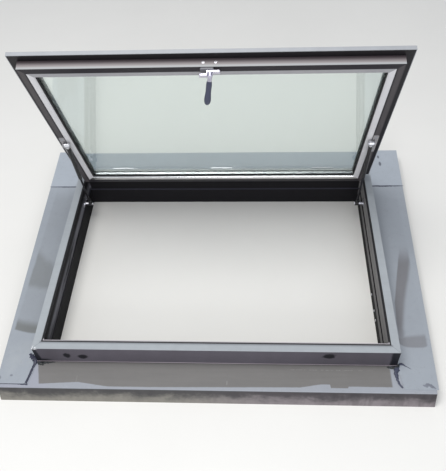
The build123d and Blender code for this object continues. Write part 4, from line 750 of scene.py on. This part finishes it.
# %% [markdown]
# The two front corners were closed with more sealant than they needed. On the left a dark
# daub sits in the angle between skirt and sheets and a greenish run goes along the skirt's
# foot. On the right a thumb-wide daub was pulled down along the seam, a thin spur was drawn
# out over the sheet, and a smudge lies near the sheet's end.

# %%
# Daubs at the front corners
left_daub = bmesh.new()
smear(left_daub, [
    (-0.6660, -0.470, SIDE_TOP, 0.0030, 0.0012), (-0.6560, -0.479, SIDE_TOP, 0.0086, 0.0042),
    (-0.6460, -0.489, SIDE_TOP, 0.0100, 0.0064), (-0.6390, -0.499, SIDE_TOP, 0.0088, 0.0066),
    (-0.6370, -0.512, SIDE_TOP, 0.0052, 0.0030),
], steps=12, arc=11, rough=0.35, seed=4.0)
left_daub = piece("left_corner_daub", left_daub, blue_black, "frame")

foot_run = bmesh.new()
smear(foot_run, [
    (-0.634, -0.5015, APRON_TOP, 0.0030, 0.0040), (-0.622, -0.5055, APRON_TOP, 0.0065, 0.0050),
    (-0.612, -0.5070, APRON_TOP, 0.0072, 0.0038), (-0.602, -0.5040, APRON_TOP, 0.0042, 0.0036),
    (-0.590, -0.5030, APRON_TOP, 0.0034, 0.0032), (-0.576, -0.5018, APRON_TOP, 0.0026, 0.0028),
    (-0.566, -0.5008, APRON_TOP, 0.0012, 0.0018),
], steps=12, arc=9, rough=0.35, seed=5.0)
foot_run = piece("foot_sealant", foot_run, green_black, "frame")

right_daub = bmesh.new()
smear(right_daub, [
    (0.5950, -0.5045, APRON_TOP, 0.0014, 0.0018), (0.6050, -0.5055, APRON_TOP, 0.0038, 0.0034),
    (0.6180, -0.5060, APRON_TOP, 0.0052, 0.0050), (0.6300, -0.5030, APRON_TOP, 0.0070, 0.0066),
    (0.6360, -0.4950, SIDE_TOP, 0.0040, 0.0040),
], steps=12, arc=9, rough=0.3, seed=6.0)
right_daub = piece("right_corner_daub", right_daub, green_black, "frame")

pulled = bmesh.new()
smear(pulled, [
    (0.6330, -0.4990, SIDE_TOP, 0.0060, 0.0030), (0.6285, -0.5100, SIDE_TOP, 0.0088, 0.0038),
    (0.6240, -0.5240, SIDE_TOP, 0.0076, 0.0034), (0.6240, -0.5380, SIDE_TOP, 0.0056, 0.0028),
    (0.6250, -0.5520, SIDE_TOP, 0.0040, 0.0024), (0.6290, -0.5660, SIDE_TOP, 0.0036, 0.0020),
    (0.6345, -0.5760, SIDE_TOP, 0.0036, 0.0016), (0.6390, -0.5820, SIDE_TOP, 0.0018, 0.0010),
], steps=12, arc=11, rough=0.28, seed=7.0)
smear(pulled, [
    (0.6380, -0.4960, SIDE_TOP, 0.0040, 0.0024), (0.6480, -0.4925, SIDE_TOP, 0.0045, 0.0018),
    (0.6600, -0.5000, SIDE_TOP, 0.0018, 0.0010), (0.6770, -0.5110, SIDE_TOP, 0.0007, 0.0005),
], steps=12, arc=7, rough=0.3, seed=8.0)
pulled = piece("pulled_sealant", pulled, grey_blue, "frame")

smudge = bmesh.new()
smear(smudge, [
    (0.7060, -0.5700, SIDE_TOP, 0.0012, 0.0004), (0.7150, -0.5730, SIDE_TOP, 0.0050, 0.0007),
    (0.7270, -0.5700, SIDE_TOP, 0.0062, 0.0008), (0.7390, -0.5780, SIDE_TOP, 0.0046, 0.0007),
    (0.7480, -0.5840, SIDE_TOP, 0.0016, 0.0004),
], steps=12, arc=9, rough=0.4, seed=9.0)
smudge = piece("sealant_smudge", smudge, thin_grey, "frame")

# %% [markdown]
# A narrow rolled edge closes the foot of the skirt and shows as a lighter line above the
# apron: its coat is lighter than the skirt's, a painted highlight along the bend. It is one
# small half-round drawn out along each side of the skirt.

# %%
# Rolled edge at the skirt's foot
def rolled_edge():
    shape = bmesh.new()
    reach, depth, arc = 0.0016, 0.0022, 8
    corners = [(-SIDE, FRONT), (SIDE, FRONT), (SIDE, HEAD), (-SIDE, HEAD)]
    rings = []
    for x, y in corners:
        ring = []
        for k in range(arc + 1):
            turn = math.pi * k / arc
            grow = reach * math.sin(turn)
            spread = Vector((math.copysign(grow, x), math.copysign(grow, y - MIDDLE)))
            level = SKIRT_FOOT + 0.0002 + depth * math.cos(turn)
            ring.append(shape.verts.new((x + spread.x, y + spread.y, level)))
        rings.append(ring)
    for first, second in zip(rings, rings[1:] + rings[:1]):
        for k in range(arc):
            shape.faces.new((first[k], first[k + 1], second[k + 1], second[k]))
        shape.faces.new((first[arc], first[0], second[0], second[arc]))
    return shape


# Its lighter coat is a painted highlight along the bend
edge_line = piece("skirt_edge", rolled_edge(), coat("edge_highlight_coat", rgb(128, 120, 126)), "frame")

# %% [markdown]
# ## Studio: floor, light and camera
# A pale floor, a soft sky all round, a broad key light high on the left and a gentle fill
# from the front. The camera stands where the photographer stood.

# %%
# Floor and sky
FLOOR_HALF = 14.0
SKY_COLOUR, SKY_STRENGTH = (0.90, 0.94, 1.0, 1.0), 0.55

floor_mesh = bpy.data.meshes.new("floor")
shape = bmesh.new()
bmesh.ops.create_grid(shape, x_segments=1, y_segments=1, size=FLOOR_HALF)
shape.to_mesh(floor_mesh)
shape.free()
floor = bpy.data.objects.new("floor", floor_mesh)
bpy.context.scene.collection.objects.link(floor)
floor_look = Shader("floor_paint", Roughness=0.9)
mottle = 0.97 + floor_look.noise(2.0) * 0.06
floor_look.wire(Base_Color=floor_look.scaled(rgb(222, 221, 218), mottle))
floor_mesh.materials.append(floor_look.material)

world = bpy.data.worlds.new("studio")
bpy.context.scene.world = world
world.use_nodes = True
sky = world.node_tree.nodes["Background"]
sky.inputs["Color"].default_value = SKY_COLOUR
sky.inputs["Strength"].default_value = SKY_STRENGTH
print("floor and sky set")

# %%
# Lights and camera
def area_light(name, place, target, size, watts, colour):
    lamp = bpy.data.lights.new(name, "AREA")
    lamp.shape, lamp.size, lamp.energy, lamp.color = "DISK", size, watts, colour
    holder = bpy.data.objects.new(name, lamp)
    bpy.context.scene.collection.objects.link(holder)
    holder.location = place
    holder.rotation_mode = "QUATERNION"
    holder.rotation_quaternion = (Vector(target) - Vector(place)).to_track_quat("-Z", "Y")


area_light("key", place=(-0.7, -0.6, 4.6), target=(0, 0.0, 0.1), size=3.0, watts=160,
           colour=(1.0, 0.985, 0.96))
area_light("fill", place=(0.3, -3.5, 1.3), target=(0, 0.2, 0.4), size=2.0, watts=52,
           colour=(0.97, 0.98, 1.0))

FOCAL_PIXELS, LONG_SIDE, SENSOR = 611.9, 471, 36.0
CAMERA_PLACE = (0.1525, -1.5659, 1.9700)
camera_data = bpy.data.cameras.new("camera")
camera_data.sensor_width = SENSOR
camera_data.lens = SENSOR * FOCAL_PIXELS / LONG_SIDE
camera_data.clip_start, camera_data.clip_end = 0.05, 60.0
camera = bpy.data.objects.new("camera", camera_data)
bpy.context.scene.collection.objects.link(camera)
right = Vector((0.998363, 0.038539, -0.042256))
down = Vector((0.001296, -0.753913, -0.656973))
ahead = Vector((-0.057177, 0.655843, -0.752729))
turned = Matrix((right, -down, -ahead)).transposed().to_4x4()
camera.matrix_world = Matrix.Translation(CAMERA_PLACE) @ turned
bpy.context.scene.camera = camera
bpy.context.scene.view_settings.view_transform = "Standard"
print("camera at", [round(v, 3) for v in camera.location])
